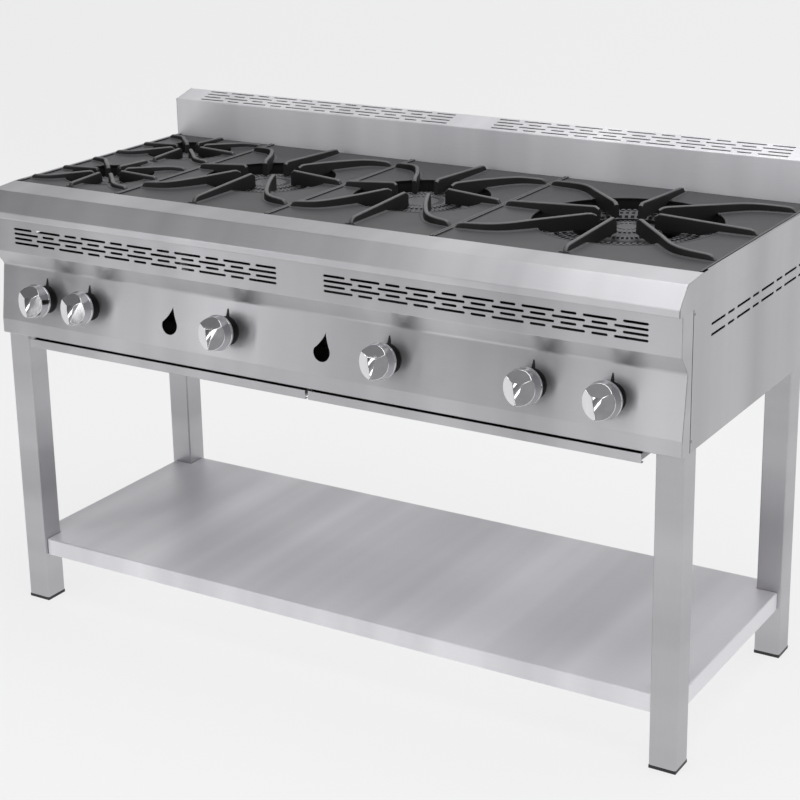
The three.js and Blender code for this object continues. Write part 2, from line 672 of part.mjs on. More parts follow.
// For each size: its opening, the reach and the outer and inner rise of its fingers, and its burner.
const small = { radius: 88, reach: 28, rise: [8, 12], burner: 58 };
const middle = { radius: 130, reach: 54, rise: [11, 20], burner: 104 };
const large = { radius: 170, reach: 54, rise: [11, 20], ringInner: 96, ringOuter: 150, star: 62 };
const smallY = [GRATE_MIDDLE_Y - halfDepth / 2, GRATE_MIDDLE_Y + halfDepth / 2];
const ringFeedX = columns[3].x - (large.ringInner + large.ringOuter) / 2;

// ---- Materials ----------------------------------------------------------------------------------

function finish(color, roughness, metalness) {
  return () => new THREE.MeshStandardMaterial({ color, roughness, metalness });
}

const steel = finish(0xb9b8bc, 0.32, 1);
const chrome = finish(0xdcdcdf, 0.08, 1);
const castIron = finish(0x4b4b4f, 0.75, 0.2);
const brass = finish(0xb08d4a, 0.35, 1);
const pipeSteel = finish(0x77787a, 0.5, 1);
const plastic = finish(0x1c1c1d, 0.5, 0);

// ---- Assembly -----------------------------------------------------------------------------------

const range = new THREE.Group();

function add(name, geometry, makeMaterial, parent = range) {
  const mesh = new THREE.Mesh(geometry, makeMaterial());
  mesh.name = name;
  parent.add(mesh);
  return mesh;
}

for (const [across, x] of [['left', -LEG_X], ['right', LEG_INNER_X]]) {
  for (const [along, y] of [['front', LEG_FRONT_Y], ['rear', LEG_BACK_Y - LEG_SIZE]]) {
    const corner = new THREE.Group();
    corner.position.set(x, y, 0);
    add(`leg_${along}_${across}`, leg(), steel, corner);
    add(`leg_cap_${along}_${across}`, legCap(), plastic, corner);
    range.add(corner);
  }
}
add('shelf', shelf(), steel);
add('frame_rail_front', crossRail(LEG_FRONT_Y + 2), steel);
add('frame_rail_rear', crossRail(LEG_BACK_Y - RAIL), steel);
for (const [name, side] of [['left', -1], ['right', 1]]) {
  add(`frame_rail_${name}`, sideRail(side), steel);
  add(`crumb_tray_${name}`, crumbTray(side), steel);
  add(`top_side_rail_${name}`, topSideRail(side), steel);
  add(`side_panel_${name}`, sidePanel(side), steel);
}
add('tray_runner_centre', trayRunner(), steel);
add('top_front_rail', topFrontRail(), steel);
add('splashback', splashback(), steel);
add('front_fascia', frontFascia(), steel);
add('back_panel', backPanel(), steel);

columns.slice(1).forEach((column, i) => {
  add(`grate_bearer_${i + 1}`, grateBearer(column.x0 - GRATE.gap / 2), steel);
});

add('gas_manifold', manifoldPipe(), pipeSteel);
add('gas_inlet', gasInlet(), pipeSteel);
KNOB_X.forEach((x, i) => {
  const station = placeOnPanel(new THREE.Group(), x, KNOB_Z);
  add(`gas_valve_${i + 1}`, gasValve(), brass, station);
  add(`valve_stem_${i + 1}`, valveStem(), brass, station);
  add(`knob_${i + 1}`, knob(), chrome, station);
  range.add(station);
});

const [c1, c2, c3, c4] = columns;
const midY = GRATE_MIDDLE_Y;
const burners = [
  ['burner_small_front', burnerHead(small.burner, c1.x, smallY[0]), KNOB_X[0], c1.x, smallY[0]],
  ['burner_small_rear', burnerHead(small.burner, c1.x, smallY[1]), KNOB_X[1], c1.x, smallY[1]],
  ['burner_middle_left', burnerHead(middle.burner, c2.x, midY), KNOB_X[2], c2.x, midY],
  ['burner_middle_right', burnerHead(middle.burner, c3.x, midY), KNOB_X[3], c3.x, midY],
  ['burner_large_ring', burnerRing(large.ringInner, large.ringOuter, c4.x, midY), KNOB_X[4], ringFeedX, midY],
  ['burner_large_centre', burnerHead(large.star, c4.x, midY), KNOB_X[5], c4.x, midY],
];
for (const [name, head, mouthX, riserX, riserY] of burners) {
  add(name, burner(head, mouthX, riserX, riserY), castIron);
}
add('burner_support_front', burnerSupport(midY - 85), steel);
add('burner_support_rear', burnerSupport(midY + 81), steel);

const grates = [
  ['grate_small_double', c1, smallY.map((y) => ({ ...small, x: c1.x, y, halfDepth: halfDepth / 2 }))],
  ['grate_middle_left', c2, [{ ...middle, x: c2.x, y: midY, halfDepth }]],
  ['grate_middle_right', c3, [{ ...middle, x: c3.x, y: midY, halfDepth }]],
  ['grate_large', c4, [{ ...large, x: c4.x, y: midY, halfDepth }]],
];
for (const [name, column, openings] of grates) {
  add(name, grate(column.x0, column.x1, openings), castIron);
}

export default range;
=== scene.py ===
"""Looks of the six-knob gas range, in metres: X right, Y back, Z up, origin on the floor."""
import json
import math

import bmesh
import bpy
from mathutils import Matrix, Vector


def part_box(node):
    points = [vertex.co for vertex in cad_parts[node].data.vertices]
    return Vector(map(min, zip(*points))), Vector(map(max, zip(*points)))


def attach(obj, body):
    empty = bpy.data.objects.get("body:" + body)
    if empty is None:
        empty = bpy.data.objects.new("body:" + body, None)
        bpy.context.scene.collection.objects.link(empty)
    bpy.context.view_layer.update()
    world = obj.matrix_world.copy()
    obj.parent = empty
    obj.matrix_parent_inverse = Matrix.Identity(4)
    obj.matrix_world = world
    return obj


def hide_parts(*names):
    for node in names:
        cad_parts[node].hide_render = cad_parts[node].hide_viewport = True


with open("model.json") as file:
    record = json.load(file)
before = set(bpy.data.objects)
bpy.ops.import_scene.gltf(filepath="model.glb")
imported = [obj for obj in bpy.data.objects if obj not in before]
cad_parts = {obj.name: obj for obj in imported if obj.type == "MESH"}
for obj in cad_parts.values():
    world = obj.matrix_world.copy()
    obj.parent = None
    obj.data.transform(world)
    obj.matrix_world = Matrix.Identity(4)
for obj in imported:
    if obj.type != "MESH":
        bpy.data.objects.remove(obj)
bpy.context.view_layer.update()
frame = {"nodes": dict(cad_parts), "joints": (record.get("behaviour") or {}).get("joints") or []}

MM = 0.001
SHEET = 1.2 * MM
BODY = "body"
RIGHTWARD, BACKWARD, UPWARD = (1, 0, 0), (0, 1, 0), (0, 0, 1)

# ---- Places, read from the frame ----------------------------------------------------------------

FASCIA_LOW, FASCIA_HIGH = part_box("front_fascia")
RAIL_LOW, RAIL_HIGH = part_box("top_front_rail")
SPLASH_LOW, SPLASH_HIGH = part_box("splashback")
SHELF_LOW, SHELF_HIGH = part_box("shelf")
COOKTOP_Z = RAIL_HIGH.z
LEG_FRONT_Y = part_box("leg_front_left")[0].y
LEDGE_WIDTH = 20 * MM
CREASE_ANGLE = 35

# ---- Meshes -------------------------------------------------------------------------------------


def make_object(name, bm, *materials):
    """Turns a bmesh into a linked object. Its faces use the first material unless they say more."""
    bmesh.ops.recalc_face_normals(bm, faces=bm.faces)
    mesh = bpy.data.meshes.new(name)
    bm.to_mesh(mesh)
    bm.free()
    for material in materials:
        mesh.materials.append(material)
    made = bpy.data.objects.new(name, mesh)
    bpy.context.collection.objects.link(made)
    return made


def set_smooth(target, angle=CREASE_ANGLE):
    """Smooth shading that stays crisp where faces meet at more than the angle."""
    target.data.shade_smooth()
    target.data.set_sharp_from_angle(angle=math.radians(angle))
    normals = target.modifiers.new("flat faces stay flat", "WEIGHTED_NORMAL")
    normals.keep_sharp = True


def add_bevel(target, width, segments=2):
    bevel = target.modifiers.new("edge", "BEVEL")
    bevel.width = width
    bevel.segments = segments
    bevel.limit_method = "ANGLE"
    bevel.angle_limit = math.radians(CREASE_ANGLE)


def place(target, replaced=(), body=BODY):
    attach(target, body)
    if replaced:
        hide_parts(*replaced)


def apply_modifiers(target):
    bpy.context.view_layer.update()
    evaluated = target.evaluated_get(bpy.context.evaluated_depsgraph_get())
    mesh = bpy.data.meshes.new_from_object(evaluated)
    target.modifiers.clear()
    target.data = mesh


def cut(target, cutter_bm):
    """Takes the closed cutters out of the target."""
    cutter = make_object("cutter", cutter_bm, target.data.materials[0])
    boolean = target.modifiers.new("cut", "BOOLEAN")
    boolean.operation = "DIFFERENCE"
    boolean.solver = "EXACT"
    boolean.object = cutter
    apply_modifiers(target)
    bpy.data.objects.remove(cutter)


def rounded_line(points, radius, steps=5):
    """A line of (a, b) points whose inner corners are arcs. radius is one value or one per corner."""
    corners = len(points) - 2
    radii = radius if isinstance(radius, (list, tuple)) else [radius] * corners
    line = [Vector(points[0])]
    for index in range(corners):
        corner = Vector(points[index + 1])
        back = (Vector(points[index]) - corner).normalized()
        ahead = (Vector(points[index + 2]) - corner).normalized()
        half = back.angle(ahead) / 2
        centre = corner + (back + ahead).normalized() * (radii[index] / math.sin(half))
        start = corner + back * (radii[index] / math.tan(half)) - centre
        end = corner + ahead * (radii[index] / math.tan(half)) - centre
        turn = start.angle_signed(end)
        for step in range(steps + 1):
            line.append(centre + Matrix.Rotation(-turn * step / steps, 2) @ start)
    line.append(Vector(points[-1]))
    return line


def offset_line(line, thickness):
    """The other face of a bent sheet, to the left of the line's direction."""
    normals = []
    for a, b in zip(line, line[1:]):
        along = (b - a).normalized()
        normals.append(Vector((-along.y, along.x)))
    moved = []
    for index, point in enumerate(line):
        before = normals[max(index - 1, 0)]
        after = normals[min(index, len(normals) - 1)]
        moved.append(point + (before + after) * (thickness / (1 + before.dot(after))))
    return moved


def bent_sheet(line, thickness, x0, x1, strips=1):
    """A sheet folded along X: the line is drawn in (y, z). Its hidden face has material 1.

    More strips keep the faces small where slots will be cut.
    """
    bm = bmesh.new()
    other = offset_line(line, thickness)
    rows = []
    for strip in range(strips + 1):
        x = x0 + (x1 - x0) * strip / strips
        outer = [bm.verts.new((x, point.x, point.y)) for point in line]
        inner = [bm.verts.new((x, point.x, point.y)) for point in other]
        rows.append((outer, inner))
    for outer, inner in (rows[0], rows[-1]):
        for i in range(len(line) - 1):
            bm.faces.new((outer[i], outer[i + 1], inner[i + 1], inner[i]))
    for (outer0, inner0), (outer1, inner1) in zip(rows, rows[1:]):
        for material_index, (near, far) in enumerate(((outer0, outer1), (inner0, inner1))):
            for i in range(len(line) - 1):
                face = bm.faces.new((near[i], near[i + 1], far[i + 1], far[i]))
                face.material_index = material_index
        for i in (0, -1):
            bm.faces.new((outer0[i], inner0[i], inner1[i], outer1[i]))
    return bm


def add_prism(bm, outline, depth, matrix):
    """Adds an outline drawn in (x, y), extruded from z 0 to depth and placed by the matrix."""
    low = [bm.verts.new(matrix @ Vector((x, y, 0))) for x, y in outline]
    high = [bm.verts.new(matrix @ Vector((x, y, depth))) for x, y in outline]
    bm.faces.new(low)
    bm.faces.new(high)
    count = len(outline)
    for i in range(count):
        after = (i + 1) % count
        bm.faces.new((low[i], low[after], high[after], high[i]))


def add_lathe(bm, profile, matrix, steps=64, closed=False):
    """Adds a turned body. The profile's (radius, z) points start and end on the axis, or close."""
    rings = []
    for radius, z in profile:
        if radius == 0:
            rings.append([bm.verts.new(matrix @ Vector((0, 0, z)))])
            continue
        ring = []
        for step in range(steps):
            angle = math.tau * step / steps
            point = Vector((radius * math.cos(angle), radius * math.sin(angle), z))
            ring.append(bm.verts.new(matrix @ point))
        rings.append(ring)
    pairs = list(zip(rings, rings[1:]))
    if closed:
        pairs.append((rings[-1], rings[0]))
    for a, b in pairs:
        for i in range(steps):
            after = (i + 1) % steps
            corners = [a[i % len(a)], a[after % len(a)], b[after % len(b)], b[i % len(b)]]
            distinct = list(dict.fromkeys(corners))
            if len(distinct) > 2:
                bm.faces.new(distinct)


def at(x, y, z):
    return Matrix.Translation((x, y, z))


def circle(radius, steps=32):
    turns = [math.tau * step / steps for step in range(steps)]
    return [(radius * math.cos(turn), radius * math.sin(turn)) for turn in turns]


def rectangle(low, high):
    """The plan outline of a box."""
    return [(low.x, low.y), (high.x, low.y), (high.x, high.y), (low.x, high.y)]


def centred(place_matrix, depth):
    """Moves a prism of this depth so that its place lies at the middle of the depth."""
    return place_matrix @ at(0, 0, -depth / 2)


def facing(origin, across, up):
    """A matrix that puts x along across, y along up and z out of their plane."""
    across = Vector(across).normalized()
    up = Vector(up).normalized()
    turn = Matrix((across, up, across.cross(up))).transposed().to_4x4()
    return Matrix.Translation(origin) @ turn


# ---- Materials ----------------------------------------------------------------------------------

NOISE_LOW, NOISE_HIGH = 0.3, 0.7


class Nodes:
    """A new material and short ways to add nodes to it."""

    def __init__(self, name):
        self.material = bpy.data.materials.new(name)
        self.material.use_nodes = True
        self.tree = self.material.node_tree
        self.shader = self.tree.nodes["Principled BSDF"]
        self.place = self.add("ShaderNodeTexCoord").outputs["Object"]

    def add(self, kind):
        return self.tree.nodes.new(kind)

    def link(self, source, target):
        self.tree.links.new(source, target)

    def noise(self, scale, detail=4.0, stretch=(1, 1, 1)):
        """Noise in the object's own space. A small stretch value draws it out along that axis."""
        mapping = self.add("ShaderNodeMapping")
        mapping.inputs["Scale"].default_value = stretch
        self.link(self.place, mapping.inputs["Vector"])
        texture = self.add("ShaderNodeTexNoise")
        texture.inputs["Scale"].default_value = scale
        texture.inputs["Detail"].default_value = detail
        self.link(mapping.outputs["Vector"], texture.inputs["Vector"])
        return texture.outputs["Fac"]

    def spread(self, source, low, high):
        """Maps the middle of a noise to the range from low to high."""
        mapped = self.add("ShaderNodeMapRange")
        mapped.inputs["From Min"].default_value = NOISE_LOW
        mapped.inputs["From Max"].default_value = NOISE_HIGH
        mapped.inputs["To Min"].default_value = low
        mapped.inputs["To Max"].default_value = high
        self.link(source, mapped.inputs["Value"])
        return mapped.outputs["Result"]

    def colours(self, source, low, high):
        """Mixes two colours by the source. Each is a triple or the output of another node."""
        mix = self.add("ShaderNodeMix")
        mix.data_type = "RGBA"
        for name, colour in (("A", low), ("B", high)):
            if isinstance(colour, tuple):
                mix.inputs[name].default_value = (*colour, 1)
            else:
                self.link(colour, mix.inputs[name])
        self.link(source, mix.inputs["Factor"])
        return mix.outputs["Result"]

    def total(self, first, second):
        addition = self.add("ShaderNodeMath")
        addition.operation = "ADD"
        self.link(first, addition.inputs[0])
        self.link(second, addition.inputs[1])
        return addition.outputs["Value"]

    def upward(self, vector, low, high):
        """0 where the Z of a vector is low, rising to 1 where it is high."""
        split = self.add("ShaderNodeSeparateXYZ")
        self.link(vector, split.inputs["Vector"])
        share = self.add("ShaderNodeMapRange")
        share.inputs["From Min"].default_value = low
        share.inputs["From Max"].default_value = high
        self.link(split.outputs["Z"], share.inputs["Value"])
        return share.outputs["Result"]

    def bump(self, source, strength, distance):
        bump = self.add("ShaderNodeBump")
        bump.inputs["Strength"].default_value = strength
        bump.inputs["Distance"].default_value = distance
        self.link(source, bump.inputs["Height"])
        self.link(bump.outputs["Normal"], self.shader.inputs["Normal"])


STRETCH = {"x": (0.02, 1, 1), "y": (1, 0.02, 1), "z": (1, 1, 0.02)}
BANDS = {"x": (1, 0.04, 0.04), "y": (0.04, 1, 0.04), "z": (0.04, 0.04, 1)}
AXIS = {"x": RIGHTWARD, "y": BACKWARD, "z": UPWARD}
BRUSH_LINES_SCALE, BAND_SCALE, SMEAR_SCALE = 1100, 5.5, 5


def brushed_steel(name, grain, tone=0.62, roughness=0.36, metallic=0.86):
    """Stainless sheet: fine brush lines along one axis, soft bands across them and faint wiping smears.

    The brush lines spread reflections across themselves, so the tangent runs at right angles to them.
    """
    nodes = Nodes(name)
    shader = nodes.shader
    shader.inputs["Metallic"].default_value = metallic
    shader.inputs["Anisotropic"].default_value = 0.8
    lines = nodes.noise(BRUSH_LINES_SCALE, 3, STRETCH[grain])
    bands = nodes.noise(BAND_SCALE, 3, BANDS[grain])
    smears = nodes.noise(SMEAR_SCALE, 4)
    light = (tone * 1.06, tone * 1.05, tone * 1.08)
    dark = (tone * 0.74, tone * 0.73, tone * 0.76)
    shade = nodes.total(nodes.spread(bands, 0, 0.9), nodes.spread(lines, 0, 0.1))
    nodes.link(nodes.colours(shade, dark, light), shader.inputs["Base Color"])
    brushed = nodes.spread(lines, roughness - 0.03, roughness + 0.03)
    nodes.link(nodes.total(brushed, nodes.spread(smears, -0.03, 0.03)), shader.inputs["Roughness"])
    across = nodes.add("ShaderNodeVectorMath")
    across.operation = "CROSS_PRODUCT"
    across.inputs[1].default_value = AXIS[grain]
    nodes.link(nodes.add("ShaderNodeNewGeometry").outputs["Normal"], across.inputs[0])
    nodes.link(across.outputs["Vector"], shader.inputs["Tangent"])
    nodes.bump(lines, 0.05, 0.1 * MM)
    return nodes.material


def stained_and_shaded_steel():
    """The inside of the body: the same sheet, painted almost black: mostly painted shade for the dark hollow
    inside, partly heat staining.
    """
    nodes = Nodes("stained_and_shaded_steel")
    shader = nodes.shader
    shader.inputs["Metallic"].default_value = 0.6
    stain = nodes.noise(14, 6)
    nodes.link(
        nodes.colours(nodes.spread(stain, 0, 1), (0.016, 0.015, 0.015), (0.045, 0.042, 0.040)),
        shader.inputs["Base Color"])
    nodes.link(nodes.spread(stain, 0.55, 0.75), shader.inputs["Roughness"])
    nodes.bump(nodes.noise(300, 4), 0.15, 0.1 * MM)
    return nodes.material


def polished_chrome():
    nodes = Nodes("polished_chrome")
    shader = nodes.shader
    shader.inputs["Metallic"].default_value = 1
    film = nodes.noise(60, 5)
    nodes.link(nodes.colours(film, (0.72, 0.72, 0.74), (0.84, 0.84, 0.85)), shader.inputs["Base Color"])
    nodes.link(nodes.spread(film, 0.06, 0.13), shader.inputs["Roughness"])
    nodes.bump(nodes.noise(45, 2), 0.05, 0.2 * MM)
    return nodes.material


def cast_iron(name, shade):
    """Grey casting: sand texture, patches of oil and dust, sides painted dark as painted shade, and paler
    above the cooktop, partly wear from pans and partly a painted highlight.
    """
    nodes = Nodes(name)
    shader = nodes.shader
    shader.inputs["Metallic"].default_value = 0.3
    shader.inputs["Specular IOR Level"].default_value = 0.4
    patches = nodes.noise(9, 5)
    sand = nodes.noise(650, 4)
    oily = (shade * 0.80, shade * 0.80, shade * 0.84)
    dusty = (shade, shade, shade * 1.05)
    # Partly wear from pans and partly painted highlight: everything above the cooktop is painted much paler.
    rubbed_and_painted_highlight = (shade * 1.9, shade * 1.9, shade * 1.95)
    # Painted shade: faces that do not look up are darkened.
    painted_side_shade = (shade * 0.22, shade * 0.22, shade * 0.23)
    flat = nodes.colours(nodes.spread(patches, 0, 1), oily, dusty)
    proud = nodes.upward(nodes.place, COOKTOP_Z - 1.5 * MM, COOKTOP_Z + 1.5 * MM)
    top = nodes.colours(proud, flat, rubbed_and_painted_highlight)
    level = nodes.upward(nodes.add("ShaderNodeNewGeometry").outputs["Normal"], 0.1, 1)
    nodes.link(nodes.colours(level, painted_side_shade, top), shader.inputs["Base Color"])
    nodes.link(nodes.spread(patches, 0.44, 0.58), shader.inputs["Roughness"])
    nodes.bump(sand, 0.3, 0.3 * MM)
    return nodes.material


def turned_brass():
    nodes = Nodes("turned_brass")
    shader = nodes.shader
    shader.inputs["Metallic"].default_value = 1
    stain = nodes.noise(70, 5)
    nodes.link(nodes.colours(stain, (0.42, 0.28, 0.09), (0.62, 0.45, 0.18)), shader.inputs["Base Color"])
    nodes.link(nodes.spread(stain, 0.25, 0.45), shader.inputs["Roughness"])
    nodes.bump(nodes.noise(900, 2), 0.1, 0.1 * MM)
    return nodes.material


def drawn_pipe():
    nodes = Nodes("drawn_pipe")
    shader = nodes.shader
    shader.inputs["Metallic"].default_value = 1
    scale = nodes.noise(40, 6)
    nodes.link(nodes.colours(scale, (0.20, 0.20, 0.21), (0.36, 0.36, 0.37)), shader.inputs["Base Color"])
    nodes.link(nodes.spread(scale, 0.40, 0.60), shader.inputs["Roughness"])
    nodes.bump(nodes.noise(500, 3), 0.2, 0.1 * MM)
    return nodes.material


def black_plastic():
    nodes = Nodes("black_plastic")
    shader = nodes.shader
    grain = nodes.noise(1400, 3)
    mottled = nodes.colours(grain, (0.010, 0.010, 0.011), (0.020, 0.020, 0.021))
    nodes.link(mottled, shader.inputs["Base Color"])
    nodes.link(nodes.spread(grain, 0.42, 0.55), shader.inputs["Roughness"])
    nodes.bump(grain, 0.2, 0.1 * MM)
    return nodes.material


# One stainless steel in several copies: besides the grain, the side panel copy (y) and the leg copy (z) have
# darker tones as painted shade.
STEEL_X = brushed_steel("brushed_steel_x", "x", 0.60)
RAIL_STEEL = brushed_steel("brushed_steel_rail", "x", 0.70, 0.42)
STEEL_Y = brushed_steel("brushed_steel_y", "y", 0.48)
STEEL_Z = brushed_steel("brushed_steel_z", "z", 0.56)
# The splashback and shelf copy of the same steel: its much paler tone is painted light.
PAINTED_LIGHT_STEEL = brushed_steel("brushed_steel_painted_light", "x", 0.95, 0.45, 0.5)
CHROME = polished_chrome()
IRON = cast_iron("grey_cast_iron", 0.085)
BURNER_IRON = cast_iron("burner_cast_iron", 0.13)
STAINED_AND_SHADED = stained_and_shaded_steel()
BRASS = turned_brass()
PIPE = drawn_pipe()
BLACK = black_plastic()

# ---- CAD nodes that stay ------------------------------------------------------------------------

KEPT = {
    STEEL_Y: ("frame_rail_left", "frame_rail_right", "top_side_rail_left", "top_side_rail_right",
              "tray_runner_centre"),
    # The inner parts take the near-black steel, which is painted shade with some heat staining.
    STAINED_AND_SHADED: ("frame_rail_front", "frame_rail_rear", "burner_support_front", "burner_support_rear",
              "grate_bearer_1", "grate_bearer_2", "grate_bearer_3"),
    BURNER_IRON: ("burner_small_front", "burner_small_rear", "burner_middle_left", "burner_middle_right",
                  "burner_large_ring", "burner_large_centre"),
    PIPE: ("gas_manifold", "gas_inlet"),
    BRASS: [f"{kind}_{i}" for kind in ("gas_valve", "valve_stem") for i in range(1, 7)],
    BLACK: [f"leg_cap_{end}_{side}" for end in ("front", "rear") for side in ("left", "right")],
}


def dress_kept_nodes():
    for material, names in KEPT.items():
        for name in names:
            node = frame["nodes"][name]
            for slot in node.material_slots:
                slot.material = material
            weld = node.modifiers.new("join split corners", "WELD")
            weld.merge_threshold = 0.01 * MM
            add_bevel(node, 0.4 * MM, 1)


# ---- Slots --------------------------------------------------------------------------------------

SLOT_LONG, SLOT_SHORT, SLOT_BRIDGE, SLOT_HEIGHT = 60 * MM, 29 * MM, 11 * MM, 4.5 * MM
SLOT_PERIOD = SLOT_LONG + SLOT_SHORT + 2 * SLOT_BRIDGE
BLOCK_PERIODS = 5
BLOCK_LENGTH = BLOCK_PERIODS * SLOT_PERIOD + SLOT_LONG
BLOCK_OUTER_X = 665 * MM
SLOTTED_STRIPS = 53
SLOT_CUT = 8 * MM


def slot_row(periods, staggered):
    """Start and end of each slot in a row. A staggered row is shifted by half a period."""
    row = [(i * SLOT_PERIOD, i * SLOT_PERIOD + SLOT_LONG) for i in range(periods + 1)]
    for i in range(periods):
        start = i * SLOT_PERIOD + SLOT_LONG + SLOT_BRIDGE
        row.append((start, start + SLOT_SHORT))
    if not staggered:
        return row
    length = periods * SLOT_PERIOD + SLOT_LONG
    shifted = [(a - SLOT_PERIOD / 2, b - SLOT_PERIOD / 2) for a, b in row]
    inside = [(a, b) for a, b in shifted if a > SLOT_SHORT and b < length - SLOT_SHORT]
    first = min(a for a, _ in inside) - SLOT_BRIDGE
    last = max(b for _, b in inside) + SLOT_BRIDGE
    return [(0, first), *inside, (last, length)]


def stadium(x0, x1, height, steps=6):
    """Outline of a slot with round ends."""
    radius = height / 2
    outline = []
    for centre, start in ((x1 - radius, -0.25), (x0 + radius, 0.25)):
        for step in range(steps + 1):
            angle = math.tau * (start + 0.5 * step / steps)
            outline.append((centre + radius * math.cos(angle), radius * math.sin(angle)))
    return outline


def slot_block_cutters(row_places):
    """Cutters for two blocks of slots. Each place is a matrix for the middle of one row."""
    bm = bmesh.new()
    for index, row_place in enumerate(row_places):
        for a, b in slot_row(BLOCK_PERIODS, index % 2 == 0):
            for side in (-1, 1):
                ends = sorted(side * (BLOCK_OUTER_X - BLOCK_LENGTH + end) for end in (a, b))
                add_prism(bm, stadium(*ends, SLOT_HEIGHT), SLOT_CUT, centred(row_place, SLOT_CUT))
    return bm


def add_end_plates(name, outline, low_x, high_x, width):
    """Two flat plates that close the ends of a folded sheet. The outline is drawn in (y, z)."""
    for side, x in (("left", low_x), ("right", high_x - width)):
        bm = bmesh.new()
        add_prism(bm, outline, width, facing((x, 0, 0), BACKWARD, UPWARD))
        plate = make_object(f"{name}_{side}", bm, STEEL_Z)
        add_bevel(plate, 0.3 * MM, 1)
        set_smooth(plate)
        place(plate)


# ---- Front --------------------------------------------------------------------------------------

FASCIA_STRIP_DROP = 172 * MM
# The sloping panel's upper and lower edges, in (y, z).
PANEL_TOP = Vector((FASCIA_LOW.y + 26 * MM, FASCIA_LOW.z + 139 * MM))
PANEL_BOTTOM = Vector((FASCIA_LOW.y + 11 * MM, FASCIA_LOW.z + 29 * MM))
KNOB_JOINTS = [joint for joint in frame["joints"] if joint["name"].endswith("_turn")]
PANEL_OUT = Vector(KNOB_JOINTS[0]["axis"])
PANEL_UP = PANEL_OUT.cross(Vector(RIGHTWARD))
KNOB_Z = KNOB_JOINTS[0]["pos_m"][2]
KNOB_Y = KNOB_JOINTS[0]["pos_m"][1]
SIGHT_HOLE_X = (-310 * MM, 30 * MM)
PANEL_CUT = 10 * MM
STEM_HOLE_RADIUS = 9 * MM
FRONT_END_PLATE = 1.5 * MM
FIRST_ROW_DROP, ROW_PITCH = 22 * MM, 9.3 * MM


def on_panel(x):
    return facing((x, KNOB_Y, KNOB_Z), RIGHTWARD, PANEL_UP)


def bezier(a, b, c, steps):
    """Points after a along a quadratic curve from a to c."""
    points = []
    for step in range(1, steps + 1):
        t = step / steps
        points.append(a * (1 - t) ** 2 + b * 2 * t * (1 - t) + c * t ** 2)
    return points


def teardrop():
    """The plain sight hole: round at the bottom, with a tip that leans slightly."""
    radius = 17.5 * MM
    centre = Vector((0, -9.5 * MM))
    tip = Vector((7 * MM, 27 * MM))
    right_neck, left_neck = Vector((9 * MM, 14 * MM)), Vector((1 * MM, 11 * MM))
    first_turn, arc, arc_steps, neck_steps = 0.9, 1.25, 24, 8
    points = []
    for step in range(arc_steps + 1):
        angle = math.pi * (first_turn + arc * step / arc_steps)
        points.append(centre + Vector((math.cos(angle), math.sin(angle))) * radius)
    rising = bezier(points[-1], right_neck, tip, neck_steps)
    falling = bezier(tip, left_neck, points[0], neck_steps)
    return [tuple(point) for point in points + rising + falling[:-1]]


def fascia_corners():
    y = FASCIA_LOW.y
    return [
        (y + 15 * MM, FASCIA_HIGH.z),
        (y, FASCIA_HIGH.z),
        (y, FASCIA_LOW.z + FASCIA_STRIP_DROP),
        tuple(PANEL_TOP),
        tuple(PANEL_BOTTOM),
        (PANEL_BOTTOM.x, FASCIA_LOW.z),
        (PANEL_BOTTOM.x + 11 * MM, FASCIA_LOW.z),
    ]


FASCIA_BENDS = [2.4 * MM, 3 * MM, 9 * MM, 3 * MM, 2.4 * MM]


def make_fascia():
    """The folded front: slotted vent strip, recess and sloping panel, with its two end plates."""
    line = rounded_line(fascia_corners(), FASCIA_BENDS)
    end = FRONT_END_PLATE
    sheet = bent_sheet(line, SHEET, FASCIA_LOW.x + end, FASCIA_HIGH.x - end, SLOTTED_STRIPS)
    panel = make_object("fascia_sheet", sheet, STEEL_X, STAINED_AND_SHADED)
    rows = []
    for i in range(4):
        centre = (0, FASCIA_LOW.y, RAIL_LOW.z - FIRST_ROW_DROP - i * ROW_PITCH)
        rows.append(facing(centre, RIGHTWARD, UPWARD))
    cutters = slot_block_cutters(rows)
    for x in SIGHT_HOLE_X:
        add_prism(cutters, teardrop(), PANEL_CUT, centred(on_panel(x), PANEL_CUT))
    for joint in KNOB_JOINTS:
        stem_place = centred(on_panel(joint["pos_m"][0]), PANEL_CUT)
        add_prism(cutters, circle(STEM_HOLE_RADIUS), PANEL_CUT, stem_place)
    cut(panel, cutters)
    set_smooth(panel)
    place(panel, ["front_fascia"])
    outline = [tuple(point) for point in line[1:-1]]
    outline += [(FASCIA_HIGH.y, FASCIA_LOW.z), (FASCIA_HIGH.y, FASCIA_HIGH.z)]
    add_end_plates("fascia_end", outline, FASCIA_LOW.x, FASCIA_HIGH.x, end)


RAIL_DEPTH = 95 * MM
LEDGE_DROP = 8 * MM
CHAMFER_DEPTH, CHAMFER_TOP_DROP, CHAMFER_BOTTOM_DROP = 31 * MM, 4.5 * MM, 39 * MM


def make_top_front_rail():
    """The folded front of the cooktop: ledge for the grates, gently falling top, chamfer and lip."""
    y, z = RAIL_LOW.y, COOKTOP_Z
    opening = y + RAIL_DEPTH
    line = rounded_line([
        (opening + LEDGE_WIDTH, z - LEDGE_DROP),
        (opening, z - LEDGE_DROP),
        (opening, z),
        (y + CHAMFER_DEPTH, z - CHAMFER_TOP_DROP),
        (y, z - CHAMFER_BOTTOM_DROP),
        (y, RAIL_LOW.z),
        (FASCIA_LOW.y - 0.5 * MM, RAIL_LOW.z),
    ], [1.5 * MM, 2.2 * MM, 4 * MM, 4 * MM, 2.2 * MM])
    sheet = bent_sheet(line, SHEET, RAIL_LOW.x, RAIL_HIGH.x)
    rail = make_object("top_front_sheet", sheet, RAIL_STEEL, STAINED_AND_SHADED)
    set_smooth(rail)
    place(rail, ["top_front_rail"])


# ---- Splashback ---------------------------------------------------------------------------------

SPLASH_RISE = 15 * MM
SPLASH_ROW_SHARES = (0.83, 0.61, 0.39, 0.17)


